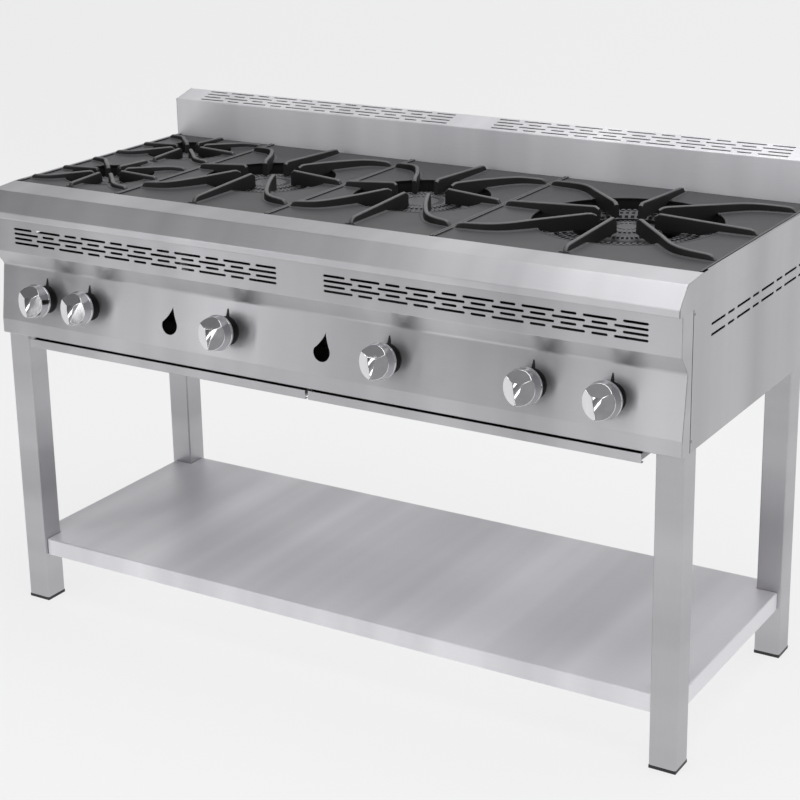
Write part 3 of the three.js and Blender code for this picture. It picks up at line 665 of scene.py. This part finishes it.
def make_splashback():
    """The low wall at the back, with slots in its sloping top and a plate at each end."""
    front = SPLASH_LOW.y + LEDGE_WIDTH
    back = SPLASH_HIGH.y
    crease = SPLASH_HIGH.z - SPLASH_RISE
    line = rounded_line([
        (SPLASH_LOW.y, SPLASH_LOW.z),
        (front, SPLASH_LOW.z),
        (front, crease),
        (back, SPLASH_HIGH.z),
        (back, COOKTOP_Z + 2 * MM),
    ], [1.5 * MM, 2.6 * MM, 2.6 * MM])
    end = SHEET
    sheet = make_object(
        "splashback_sheet",
        bent_sheet(line, -SHEET, SPLASH_LOW.x + end, SPLASH_HIGH.x - end, SLOTTED_STRIPS),
        PAINTED_LIGHT_STEEL, STAINED_AND_SHADED)
    up = Vector((0, back - front, SPLASH_RISE))
    rows = []
    for share in SPLASH_ROW_SHARES:
        centre = Vector((0, front, crease)) + up * share
        rows.append(facing(centre, RIGHTWARD, up))
    cut(sheet, slot_block_cutters(rows))
    set_smooth(sheet)
    place(sheet, ["splashback"])
    bottom = COOKTOP_Z + 0.3 * MM
    outline = [(front, bottom), (back, bottom), (back, SPLASH_HIGH.z), (front, crease)]
    add_end_plates("splashback_end", outline, SPLASH_LOW.x, SPLASH_HIGH.x, end)


# ---- Sides and back -----------------------------------------------------------------------------


def flat_sheet(name, low, high, material, inward):
    """A flat sheet between two corners. The face that looks along inward gets the near-black inner steel,
    painted shade with some staining.
    """
    bm = bmesh.new()
    add_prism(bm, rectangle(low, high), high.z - low.z, at(0, 0, low.z))
    sheet = make_object(name, bm, material, STAINED_AND_SHADED)
    for face in sheet.data.polygons:
        face.material_index = 1 if face.normal.dot(Vector(inward)) > 0.9 else 0
    return sheet


INLET_RADIUS, INLET_HOLE_RADIUS = 13.5 * MM, 18 * MM
SIDE_ROW_DROPS = (96.5 * MM, 115 * MM)
SIDE_ROW_START = LEG_FRONT_Y + 92 * MM
SIDE_PERIODS = 4


def make_back_panel():
    """The back sheet, folded forward at its foot, with the hole that the gas inlet passes."""
    low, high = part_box("back_panel")
    line = rounded_line([(low.y, low.z), (high.y, low.z), (high.y, high.z)], 2.2 * MM)
    panel = make_object("back_sheet", bent_sheet(line, SHEET, low.x, high.x), STEEL_X, STAINED_AND_SHADED)
    inlet_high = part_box("gas_inlet")[1]
    centre = (inlet_high.x - INLET_RADIUS, high.y - SHEET / 2, inlet_high.z - INLET_RADIUS)
    hole = bmesh.new()
    hole_place = centred(facing(centre, RIGHTWARD, UPWARD), SLOT_CUT)
    add_prism(hole, circle(INLET_HOLE_RADIUS), SLOT_CUT, hole_place)
    cut(panel, hole)
    set_smooth(panel)
    place(panel, ["back_panel"])


def make_side_panel(side):
    node = f"side_panel_{side}"
    low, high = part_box(node)
    low.y += 1.4 * MM
    out = 1 if side == "right" else -1
    panel = flat_sheet(f"side_sheet_{side}", low, high, STEEL_Y, (-out, 0, 0))
    cutters = bmesh.new()
    middle_x = (low.x + high.x) / 2
    for drop in SIDE_ROW_DROPS:
        row = facing((middle_x, SIDE_ROW_START, COOKTOP_Z - drop), BACKWARD, UPWARD)
        for a, b in slot_row(SIDE_PERIODS, False):
            add_prism(cutters, stadium(a, b, SLOT_HEIGHT), SLOT_CUT, centred(row, SLOT_CUT))
    cut(panel, cutters)
    set_smooth(panel)
    place(panel, [node])
    add_rivets(side, out, high.x if side == "right" else low.x)


def add_rivets(side, out, face_x):
    """The dome rivets of a side panel: two near its front edge and two near its back edge."""
    bm = bmesh.new()
    dome = [(0, 1.6 * MM), (1.6 * MM, 1.3 * MM), (2.7 * MM, 0.5 * MM), (3 * MM, -0.3 * MM), (0, -0.3 * MM)]
    low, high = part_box(f"side_panel_{side}")
    from_front, from_back, below_rail, above_foot = 7 * MM, 12 * MM, 10 * MM, 18 * MM
    for y in (low.y + from_front, high.y - from_back):
        for z in (RAIL_LOW.z - below_rail, low.z + above_foot):
            add_lathe(bm, dome, facing((face_x, y, z), (0, out, 0), UPWARD), 20)
    rivets = make_object(f"side_rivets_{side}", bm, STEEL_Y)
    set_smooth(rivets)
    place(rivets)


# ---- Stand --------------------------------------------------------------------------------------


def folded_shell(name, outline, z0, z1, wall, radius, materials, closed=None):
    """Upright walls round a plan outline, with rounded edges, and closed at "top", "bottom" or neither.

    A second material is for the inside of the wall.
    """
    bm = bmesh.new()
    low = [bm.verts.new((x, y, z0)) for x, y in outline]
    high = [bm.verts.new((x, y, z1)) for x, y in outline]
    count = len(outline)
    for i in range(count):
        after = (i + 1) % count
        bm.faces.new((low[i], low[after], high[after], high[i]))
    if closed:
        bm.faces.new(high if closed == "top" else low)
    shell = make_object(name, bm, *materials)
    add_bevel(shell, radius, 4)
    solid = shell.modifiers.new("wall", "SOLIDIFY")
    solid.thickness = wall
    solid.offset = -1
    solid.material_offset = len(materials) - 1
    set_smooth(shell)
    return shell


TUBE_WALL, TUBE_BEND = 1.5 * MM, 3.2 * MM
SHELF_GAP, SHELF_BEND = 0.3 * MM, 2.4 * MM


def make_leg(end, side):
    node = f"leg_{end}_{side}"
    low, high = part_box(node)
    outline = rectangle(low, high)
    leg = folded_shell(f"tube_{end}_{side}", outline, low.z, high.z, TUBE_WALL, TUBE_BEND, [STEEL_Z])
    place(leg, [node])


def make_shelf():
    """The tray shelf, notched around the legs and folded down on all sides."""
    low, high = SHELF_LOW, SHELF_HIGH
    inner_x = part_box("leg_front_right")[0].x - SHELF_GAP
    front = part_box("leg_front_right")[1].y + SHELF_GAP
    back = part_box("leg_rear_right")[0].y - SHELF_GAP
    right = [
        (inner_x, low.y), (inner_x, front), (high.x, front),
        (high.x, back), (inner_x, back), (inner_x, high.y),
    ]
    left = [(-x, y) for x, y in reversed(right)]
    outline = right + left
    shelf = folded_shell("shelf_sheet", outline, low.z, high.z, SHEET, SHELF_BEND, [PAINTED_LIGHT_STEEL], "top")
    place(shelf, ["shelf"])


def make_tray(side):
    """A crumb tray: a shallow pan with a folded lip that shows under the control panel."""
    node = f"crumb_tray_{side}"
    low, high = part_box(node)
    inset = 2 * MM
    pan_floor, pan_top = low.z + 3 * MM, high.z - 2 * MM
    outline = [(low.x + inset, low.y + SHEET), (high.x - inset, low.y + SHEET),
               (high.x - inset, high.y), (low.x + inset, high.y)]
    pan = folded_shell(
        f"tray_pan_{side}", outline, pan_floor, pan_top, SHEET, 1.8 * MM, [STEEL_X, STAINED_AND_SHADED], "bottom")
    place(pan, [node], node)
    line = rounded_line([
        (low.y + 1 * MM + SHEET, high.z - 6 * MM), (low.y + SHEET, high.z), (low.y, high.z),
        (low.y, low.z), (low.y + 9 * MM, low.z),
    ], [0.1 * MM, 0.5 * MM, 2 * MM])
    drawn = line[1:]  # The first point only gives the top of the lip its rounded edge.
    lip = make_object(f"tray_lip_{side}", bent_sheet(drawn, SHEET, low.x, high.x), STEEL_X)
    set_smooth(lip)
    place(lip, (), node)


# ---- Knobs --------------------------------------------------------------------------------------

KNOB_BACK, KNOB_FRONT, KNOB_RIM = 25 * MM, 58 * MM, 33 * MM
RIDGE_HALF_WIDTH, RIDGE_FOOT, CROWN_START, CROWN_DROP = 4 * MM, 30 * MM, 12 * MM, 3 * MM
FACET_LEAN = (0.34, -0.05, 0.939)
RIDGE_LEAN = (0, 0.035, 0.999)
CROWN_LEAN = (0, 0.50, 0.866)
# The black disc round each knob is a painted shadow and reflection of the knob; the spike marks off.
SHADE_DISC_RADIUS, SPIKE_START, SPIKE_TIP = 27 * MM, 24 * MM, 41 * MM


def slice_off(bm, point, normal):
    """Cuts a closed convex body by a plane, drops the side the normal points to and closes it."""
    geometry = bm.verts[:] + bm.edges[:] + bm.faces[:]
    result = bmesh.ops.bisect_plane(
        bm, geom=geometry, plane_co=Vector(point), plane_no=Vector(normal), clear_outer=True)
    edges = [item for item in result["geom_cut"] if isinstance(item, bmesh.types.BMEdge)]
    bmesh.ops.edgenet_fill(bm, edges=edges)


def make_knob(index, joint):
    """A chromed knob: two broad facets fall away from a tapering ridge, under a sloping crown."""
    turn = on_panel(joint["pos_m"][0])
    bm = bmesh.new()
    add_lathe(bm, [
        (0, KNOB_BACK), (KNOB_RIM - 1.5 * MM, KNOB_BACK), (KNOB_RIM, KNOB_BACK + 1.5 * MM),
        (KNOB_RIM, KNOB_BACK + 5 * MM), (KNOB_RIM - 1.2 * MM, KNOB_BACK + 6.5 * MM),
        (KNOB_RIM - 4 * MM, KNOB_FRONT), (0, KNOB_FRONT),
    ], Matrix.Identity(4), 96)
    across, down, out = FACET_LEAN
    for side in (-1, 1):
        slice_off(bm, (side * RIDGE_HALF_WIDTH, 0, KNOB_FRONT), (side * across, down, out))
    slice_off(bm, (0, -RIDGE_FOOT, KNOB_FRONT), RIDGE_LEAN)
    slice_off(bm, (0, CROWN_START, KNOB_FRONT - CROWN_DROP), CROWN_LEAN)
    bmesh.ops.transform(bm, matrix=turn, verts=bm.verts)
    knob = make_object(f"knob_shell_{index}", bm, CHROME)
    add_bevel(knob, 0.9 * MM, 3)
    set_smooth(knob, 50)
    place(knob, [f"knob_{index}"], f"knob_{index}")
    add_knob_back(index, turn)
    add_shade_disc_and_dial_mark(index, turn)


def add_knob_back(index, turn):
    """The black moulding behind the chromed shell, with its narrow hub."""
    back = bmesh.new()
    add_lathe(back, [
        (0, 4 * MM), (9 * MM, 4 * MM), (9 * MM, 14 * MM), (18 * MM, 15 * MM),
        (29 * MM, KNOB_BACK - 0.3 * MM), (0, KNOB_BACK - 0.3 * MM),
    ], turn, 64)
    skirt = make_object(f"knob_back_{index}", back, BLACK)
    set_smooth(skirt)
    place(skirt, (), f"knob_{index}")


def add_shade_disc_and_dial_mark(index, turn):
    """A black disc on the panel round the knob, painted as the knob's shadow and dark reflection on the
    steel, with the spike that marks off at the top.
    """
    bm = bmesh.new()
    lift = 0.1 * MM
    shade_disc = [(0, lift), (SHADE_DISC_RADIUS, lift), (SHADE_DISC_RADIUS - 1 * MM, 1.2 * MM), (0, 1.4 * MM)]
    add_lathe(bm, shade_disc, turn, 64)
    foot, tip = 4 * MM, 0.9 * MM
    spike = [(-foot, SPIKE_START), (foot, SPIKE_START), (tip, SPIKE_TIP), (-tip, SPIKE_TIP)]
    add_prism(bm, spike, 0.8 * MM, turn @ at(0, 0, lift))
    mark = make_object(f"shade_disc_and_dial_mark_{index}", bm, BLACK)
    set_smooth(mark)
    place(mark)


# ---- Cast grates --------------------------------------------------------------------------------

PLATE_TOP = COOKTOP_Z - 2 * MM
PLATE_BOTTOM = COOKTOP_Z - 7.7 * MM
SKIRT_BOTTOM = COOKTOP_Z - 28 * MM
SKIRT_WALL = 5 * MM
RIM_WIDTH = 4 * MM
ROUND_STEPS = 96
BLADE_WIDTH = 9 * MM
BLADE_DROP = 9 * MM
DROP_LENGTH = 25 * MM
ROOT_SHARE, TIP_SHARE = 0.08, 0.05
TIP_ROUNDING = 5 * MM
SHOULDER_DROP = 2.6 * MM


def catmull(points, share):
    """A point on a smooth curve through the points, at a share of it."""
    count = len(points) - 1
    span = min(int(share * count), count - 1)
    t = share * count - span
    p1, p2 = points[span], points[span + 1]
    p0 = points[span - 1] if span > 0 else p1 * 2 - p2
    p3 = points[span + 2] if span + 2 <= count else p2 * 2 - p1
    return 0.5 * (p1 * 2 + (p2 - p0) * t + (p0 * 2 - p1 * 5 + p2 * 4 - p3) * t ** 2
                  + (p1 * 3 - p0 - p2 * 3 + p3) * t ** 3)


def add_sweep(bm, places, section_at):
    """Joins the section of each (place, side vector) station to the next, and closes both ends."""
    rings = []
    for index, (point, across) in enumerate(places):
        section = section_at(index / (len(places) - 1), point)
        rings.append([bm.verts.new((point.x + across.x * s, point.y + across.y * s, z)) for s, z in section])
    for a, b in zip(rings, rings[1:]):
        for i in range(len(a)):
            after = (i + 1) % len(a)
            bm.faces.new((a[i], a[after], b[after], b[i]))
    bm.faces.new(rings[0])
    bm.faces.new(rings[-1])


def stations(points, centre, count):
    """Places along a smooth curve, each with the vector to its side."""
    places = []
    for index in range(count + 1):
        share = index / count
        point = catmull(points, share)
        ahead = catmull(points, min(share + 0.01, 1)) - catmull(points, max(share - 0.01, 0))
        along = ahead.normalized()
        places.append((centre + point, Vector((-along.y, along.x))))
    return places


def add_finger(bm, points, opening, count):
    """An upright cast finger on a low pad. Its top climbs inwards and its foot hangs in the opening."""
    centre = Vector((opening["x"], opening["y"]))
    places = stations([Vector(point) for point in points], centre, count)
    low_rise, high_rise = opening["rise"]

    def blade(share, point):
        inward = opening["radius"] - (point - centre).length
        drop = BLADE_DROP * min(1, max(0, inward / DROP_LENGTH))
        foot = PLATE_TOP - max(2 * MM, drop)
        ease = min(1, share / ROOT_SHARE)
        rise = low_rise + share * (high_rise - low_rise)
        rounding = TIP_ROUNDING * max(0, (share - (1 - TIP_SHARE)) / TIP_SHARE) ** 2
        top = PLATE_TOP + rise * math.sqrt(1 - (1 - ease) ** 2) * 0.999 + 0.3 * MM - rounding
        half = BLADE_WIDTH / 2
        shoulder = max(foot + 0.5 * MM, top - SHOULDER_DROP)
        return [
            (-half * 1.1, foot), (half * 1.1, foot), (half * 0.92, shoulder), (half * 0.78, top - 1.1 * MM),
            (half * 0.42, top - 0.25 * MM), (0, top), (-half * 0.42, top - 0.25 * MM),
            (-half * 0.78, top - 1.1 * MM), (-half * 0.92, shoulder),
        ]

    def pad(_, point):
        half = BLADE_WIDTH * 1.35
        base = PLATE_TOP - 1 * MM
        top = PLATE_TOP + 1.5 * MM
        return [(-half, base), (half, base), (half * 0.8, top - 0.5 * MM), (half * 0.6, top),
                (-half * 0.6, top), (-half * 0.8, top - 0.5 * MM)]

    add_sweep(bm, places, blade)
    on_plate = [item for item in places if (item[0] - centre).length > opening["radius"] - 2 * MM]
    if len(on_plate) > 2:
        add_sweep(bm, on_plate, pad)


def add_fingers(bm, opening, half_width):
    """Eight fingers: two across, two front to back, and four that sweep in from the corners."""
    half_depth, reach = opening["half_depth"], opening["reach"]
    for side in (-1, 1):
        add_finger(bm, [(side * (half_width - 3 * MM), 0), (side * reach, 0)], opening, 24)
        add_finger(bm, [(0, side * (half_depth - 10 * MM)), (0, side * reach)], opening, 24)
        for end in (-1, 1):
            sweep = [
                (side * (half_width - 3 * MM), end * half_depth * 0.72),
                (side * half_width * 0.68, end * half_depth * 0.66),
                (side * half_width * 0.45, end * half_depth * 0.45),
                (side * reach * 0.75, end * reach * 0.78),
            ]
            add_finger(bm, sweep, opening, 36)


def add_skirt(bm, opening):
    """The hanging ring around an opening, with a low bead on the plate."""
    radius = opening["radius"]
    wall = SKIRT_WALL
    add_lathe(bm, [
        (radius, SKIRT_BOTTOM + 1 * MM), (radius + 1 * MM, SKIRT_BOTTOM),
        (radius + wall - 1 * MM, SKIRT_BOTTOM),
        (radius + wall, SKIRT_BOTTOM + 1 * MM), (radius + wall, PLATE_TOP + 0.4 * MM),
        (radius + wall * 0.6, PLATE_TOP + 0.9 * MM), (radius + 0.6 * MM, PLATE_TOP + 0.3 * MM),
        (radius, PLATE_TOP - 0.6 * MM),
    ], at(opening["x"], opening["y"], 0), ROUND_STEPS, closed=True)


def make_grate(node, openings):
    """One casting: the plate with its round openings, rims, skirts and fingers."""
    low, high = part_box(node)
    bm = bmesh.new()
    add_prism(bm, rectangle(low, high), PLATE_TOP - PLATE_BOTTOM, at(0, 0, PLATE_BOTTOM))
    plate = make_object(node + "_casting", bm, IRON)
    holes = bmesh.new()
    for opening in openings:
        below = at(opening["x"], opening["y"], PLATE_BOTTOM - 10 * MM)
        add_prism(holes, circle(opening["radius"], ROUND_STEPS), 30 * MM, below)
    cut(plate, holes)
    whole = bmesh.new()
    whole.from_mesh(plate.data)
    for x0, x1 in ((low.x, low.x + RIM_WIDTH), (high.x - RIM_WIDTH, high.x)):
        add_rim(whole, x0, x1, low.y, high.y)
    for opening in openings:
        add_skirt(whole, opening)
        add_fingers(whole, opening, (high.x - low.x) / 2)
    bmesh.ops.recalc_face_normals(whole, faces=whole.faces)
    whole.to_mesh(plate.data)
    whole.free()
    set_smooth(plate, 40)
    place(plate, [node], node)


def add_rim(bm, x0, x1, y0, y1):
    """The thin raised bead along a side of a grate."""
    top = PLATE_TOP + 3 * MM
    inset = (x1 - x0) * 0.25
    section = [
        (x0, PLATE_TOP - 1 * MM), (x1, PLATE_TOP - 1 * MM), (x1, top - 1 * MM), (x1 - inset, top - 0.2 * MM),
        (x0 + inset, top - 0.2 * MM), (x0, top - 1 * MM),
    ]
    add_prism(bm, section, y1 - y0, facing((0, y1, 0), RIGHTWARD, UPWARD))


def grate_layout():
    """Each grate and its openings, with their radius, reach, rise and half depth."""
    layout = {}
    small_rise, wide_rise = (8 * MM, 12 * MM), (11 * MM, 20 * MM)
    sizes = {
        "grate_small_double": {"radius": 88 * MM, "reach": 28 * MM, "rise": small_rise},
        "grate_middle_left": {"radius": 130 * MM, "reach": 54 * MM, "rise": wide_rise},
        "grate_middle_right": {"radius": 130 * MM, "reach": 54 * MM, "rise": wide_rise},
        "grate_large": {"radius": 170 * MM, "reach": 54 * MM, "rise": wide_rise},
    }
    for node, size in sizes.items():
        low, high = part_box(node)
        middle = (low + high) / 2
        half_depth = (high.y - low.y) / 2
        if node == "grate_small_double":
            quarter = half_depth / 2
            centres = [(middle.x, middle.y - quarter), (middle.x, middle.y + quarter)]
            half_depth = quarter
        else:
            centres = [(middle.x, middle.y)]
        layout[node] = [dict(size, x=x, y=y, half_depth=half_depth) for x, y in centres]
    return layout


# ---- Burner tops --------------------------------------------------------------------------------

BURNER_BOTTOM, BURNER_TOP = COOKTOP_Z - 50 * MM, COOKTOP_Z - 13 * MM
# Rings of ports: share of the radius or of the ring's width, number of ribs, drop below the top.
SMALL_PORTS = ((0.88, 44, 7.5 * MM), (0.62, 30, 2.5 * MM), (0.36, 18, 1.6 * MM))
MIDDLE_PORTS = ((0.90, 72, 8 * MM), (0.72, 56, 4 * MM), (0.54, 42, 1.8 * MM), (0.36, 28, 1.6 * MM))
RING_PORTS = ((0.10, 56, 3.5 * MM), (0.36, 66, 0.8 * MM), (0.62, 76, 0.8 * MM), (0.88, 86, 3.5 * MM))


def add_teeth(bm, centre, radius, count, length, height_z):
    """A ring of radial ribs with gas ports between them."""
    width = math.tau * radius / count * 0.52
    for i in range(count):
        turn = Matrix.Rotation(math.tau * i / count, 4, "Z")
        low = -2.5 * MM
        half, high, chamfer = length / 2, 2.2 * MM, 1 * MM
        outline = [(-half, low), (half, low), (half - chamfer, high), (-half + chamfer, high)]
        rib = facing((radius, width / 2, height_z), (1, 0, 0), (0, 0, 1))
        add_prism(bm, outline, width, at(*centre, 0) @ turn @ rib)


def make_burner_top(name, centre, radius, rings):
    """A domed cap over a burner head, with its rings of ports."""
    bm = bmesh.new()
    edge = radius + 0.8 * MM
    top = BURNER_TOP + 0.8 * MM
    add_lathe(bm, [
        (0, BURNER_BOTTOM + 16 * MM), (edge - 3 * MM, BURNER_BOTTOM + 16 * MM),
        (edge, BURNER_BOTTOM + 19 * MM), (edge, BURNER_BOTTOM + 23 * MM),
        (edge * 0.93, BURNER_TOP - 8 * MM), (edge * 0.8, top - 5 * MM),
        (edge * 0.62, top - 2 * MM), (edge * 0.45, top), (edge * 0.2, top - 0.8 * MM), (0, top - 1.6 * MM),
    ], at(*centre, 0), ROUND_STEPS)
    for share, count, z_drop in rings:
        add_teeth(bm, centre, edge * share, count, edge * 0.11, top - z_drop)
    cap = make_object(name, bm, BURNER_IRON)
    set_smooth(cap, 40)
    place(cap)


def make_ring_top(name, centre, inner, outer):
    """The annular head of the large burner, with its rings of ports."""
    bm = bmesh.new()
    middle = (inner + outer) / 2
    crest = BURNER_TOP - 2.5 * MM
    add_lathe(bm, [
        (inner - 0.8 * MM, BURNER_BOTTOM + 10 * MM), (outer + 0.8 * MM, BURNER_BOTTOM + 10 * MM),
        (outer + 0.8 * MM, crest - 9 * MM), (outer - 9 * MM, crest - 2 * MM), (middle, crest),
        (inner + 9 * MM, crest - 2 * MM), (inner - 0.8 * MM, crest - 7 * MM),
    ], at(*centre, 0), ROUND_STEPS, closed=True)
    for share, count, drop in RING_PORTS:
        add_teeth(bm, centre, inner + share * (outer - inner), count, 9 * MM, crest - drop)
    ring = make_object(name, bm, BURNER_IRON)
    set_smooth(ring, 40)
    place(ring)


def make_burner_tops(layout):
    """The head of each burner, under the middle of its opening."""
    for name, opening in zip(("front", "rear"), layout["grate_small_double"]):
        make_burner_top(f"burner_top_small_{name}", (opening["x"], opening["y"]), 58 * MM, SMALL_PORTS)
    for side in ("left", "right"):
        opening = layout[f"grate_middle_{side}"][0]
        make_burner_top(f"burner_top_middle_{side}", (opening["x"], opening["y"]), 104 * MM, MIDDLE_PORTS)
    centre = (layout["grate_large"][0]["x"], layout["grate_large"][0]["y"])
    make_burner_top("burner_top_large_centre", centre, 62 * MM, SMALL_PORTS)
    make_ring_top("burner_top_large_ring", centre, 96 * MM, 150 * MM)


# ---- Stage --------------------------------------------------------------------------------------


FLOOR_HALF_WIDTH = 12
FLOOR_FRONT, FLOOR_BACK, FLOOR_HEIGHT, FLOOR_BEND = -2.8, 5, 7, 2.5
FLOOR_GLOW = 0.755


def make_floor():
    """A large pale sheet that rises in a soft curve behind the object."""
    bm = bmesh.new()
    line = rounded_line(
        [(FLOOR_FRONT, 0), (FLOOR_BACK, 0), (FLOOR_BACK, FLOOR_HEIGHT)], FLOOR_BEND, 24)
    left, right = -FLOOR_HALF_WIDTH, FLOOR_HALF_WIDTH
    for a, b in zip(line, line[1:]):
        corners = ((left, a), (right, a), (right, b), (left, b))
        bm.faces.new([bm.verts.new((x, point.x, point.y)) for x, point in corners])
    bmesh.ops.remove_doubles(bm, verts=bm.verts, dist=1 * MM)
    nodes = Nodes("pale_floor")
    shader = nodes.shader
    cloud = nodes.noise(0.4, 2)
    nodes.link(nodes.colours(cloud, (0.17, 0.17, 0.171), (0.18, 0.18, 0.181)), shader.inputs["Base Color"])
    shader.inputs["Roughness"].default_value = 1
    shader.inputs["Specular IOR Level"].default_value = 0
    shader.inputs["Emission Color"].default_value = (1, 1, 1.003, 1)
    shader.inputs["Emission Strength"].default_value = FLOOR_GLOW
    floor = make_object("studio_sweep", bm, nodes.material)
    floor.data.shade_smooth()


def add_softbox(name, location, size, energy):
    light = bpy.data.lights.new(name, "AREA")
    light.shape = "RECTANGLE"
    light.size, light.size_y = size
    light.energy = energy
    box = bpy.data.objects.new(name, light)
    box.location = location
    box.rotation_euler = (Vector(MIDDLE) - Vector(location)).to_track_quat("-Z", "Y").to_euler()
    bpy.context.collection.objects.link(box)


# Each softbox: name, place, size in metres and power in watts.
SOFTBOXES = (
    ("overhead", (0.5, -0.3, 3.3), (3.0, 2.6), 60),
    ("front_strip", (-2.15, -3.0, 1.5), (0.45, 2.6), 10),
    ("front_edge", (-0.45, -3.3, 1.5), (0.4, 2.6), 9),
    ("right", (4.0, 0.6, 1.8), (2.0, 2.4), 10),
)
MIDDLE = (0, 0, 0.7)
DIM_SIDE, BRIGHT_SIDE = (-0.75, 0.14), (-0.35, 0.38)


def make_world():
    """An even grey sky that is dimmer at the left, so that the steel has something to reflect."""
    world = bpy.data.worlds.new("studio")
    bpy.context.scene.world = world
    world.use_nodes = True
    background = world.node_tree.nodes["Background"]
    background.inputs["Color"].default_value = (0.80, 0.80, 0.82, 1)
    tree = world.node_tree
    sides = tree.nodes.new("ShaderNodeSeparateXYZ")
    strength = tree.nodes.new("ShaderNodeMapRange")
    for edge, (side_x, level) in (("Min", DIM_SIDE), ("Max", BRIGHT_SIDE)):
        strength.inputs[f"From {edge}"].default_value = side_x
        strength.inputs[f"To {edge}"].default_value = level
    tree.links.new(tree.nodes.new("ShaderNodeTexCoord").outputs["Generated"], sides.inputs["Vector"])
    tree.links.new(sides.outputs["X"], strength.inputs["Value"])
    tree.links.new(strength.outputs["Result"], background.inputs["Strength"])


CAMERA_PLACE = (1.8200, LEG_FRONT_Y - 2.64505, 1.6748)
CAMERA_RIGHT = Vector((0.85395, 0.52009, -0.01690))
CAMERA_FORWARD = Vector((-0.50180, 0.81445, -0.29133))
LENS, SENSOR_WIDTH, LENS_SHIFT = 84.92, 36, -0.1


def make_camera():
    data = bpy.data.cameras.new("camera")
    data.sensor_width = SENSOR_WIDTH
    data.lens = LENS
    data.shift_y = LENS_SHIFT
    camera = bpy.data.objects.new("camera", data)
    up = CAMERA_RIGHT.cross(CAMERA_FORWARD)
    turn = Matrix((CAMERA_RIGHT, up, -CAMERA_FORWARD)).transposed().to_4x4()
    camera.matrix_world = Matrix.Translation(CAMERA_PLACE) @ turn
    bpy.context.collection.objects.link(camera)
    bpy.context.scene.camera = camera


# ---- Everything ---------------------------------------------------------------------------------

make_camera()
make_world()
for softbox in SOFTBOXES:
    add_softbox(*softbox)
make_floor()
bpy.context.scene.view_settings.view_transform = "Standard"

dress_kept_nodes()
make_fascia()
make_top_front_rail()
make_splashback()
make_back_panel()
make_shelf()
for side_name in ("left", "right"):
    make_side_panel(side_name)
    make_tray(side_name)
    for end_name in ("front", "rear"):
        make_leg(end_name, side_name)
for number, knob_joint in enumerate(KNOB_JOINTS, 1):
    make_knob(number, knob_joint)
grates = grate_layout()
for grate_node, grate_openings in grates.items():
    make_grate(grate_node, grate_openings)
make_burner_tops(grates)
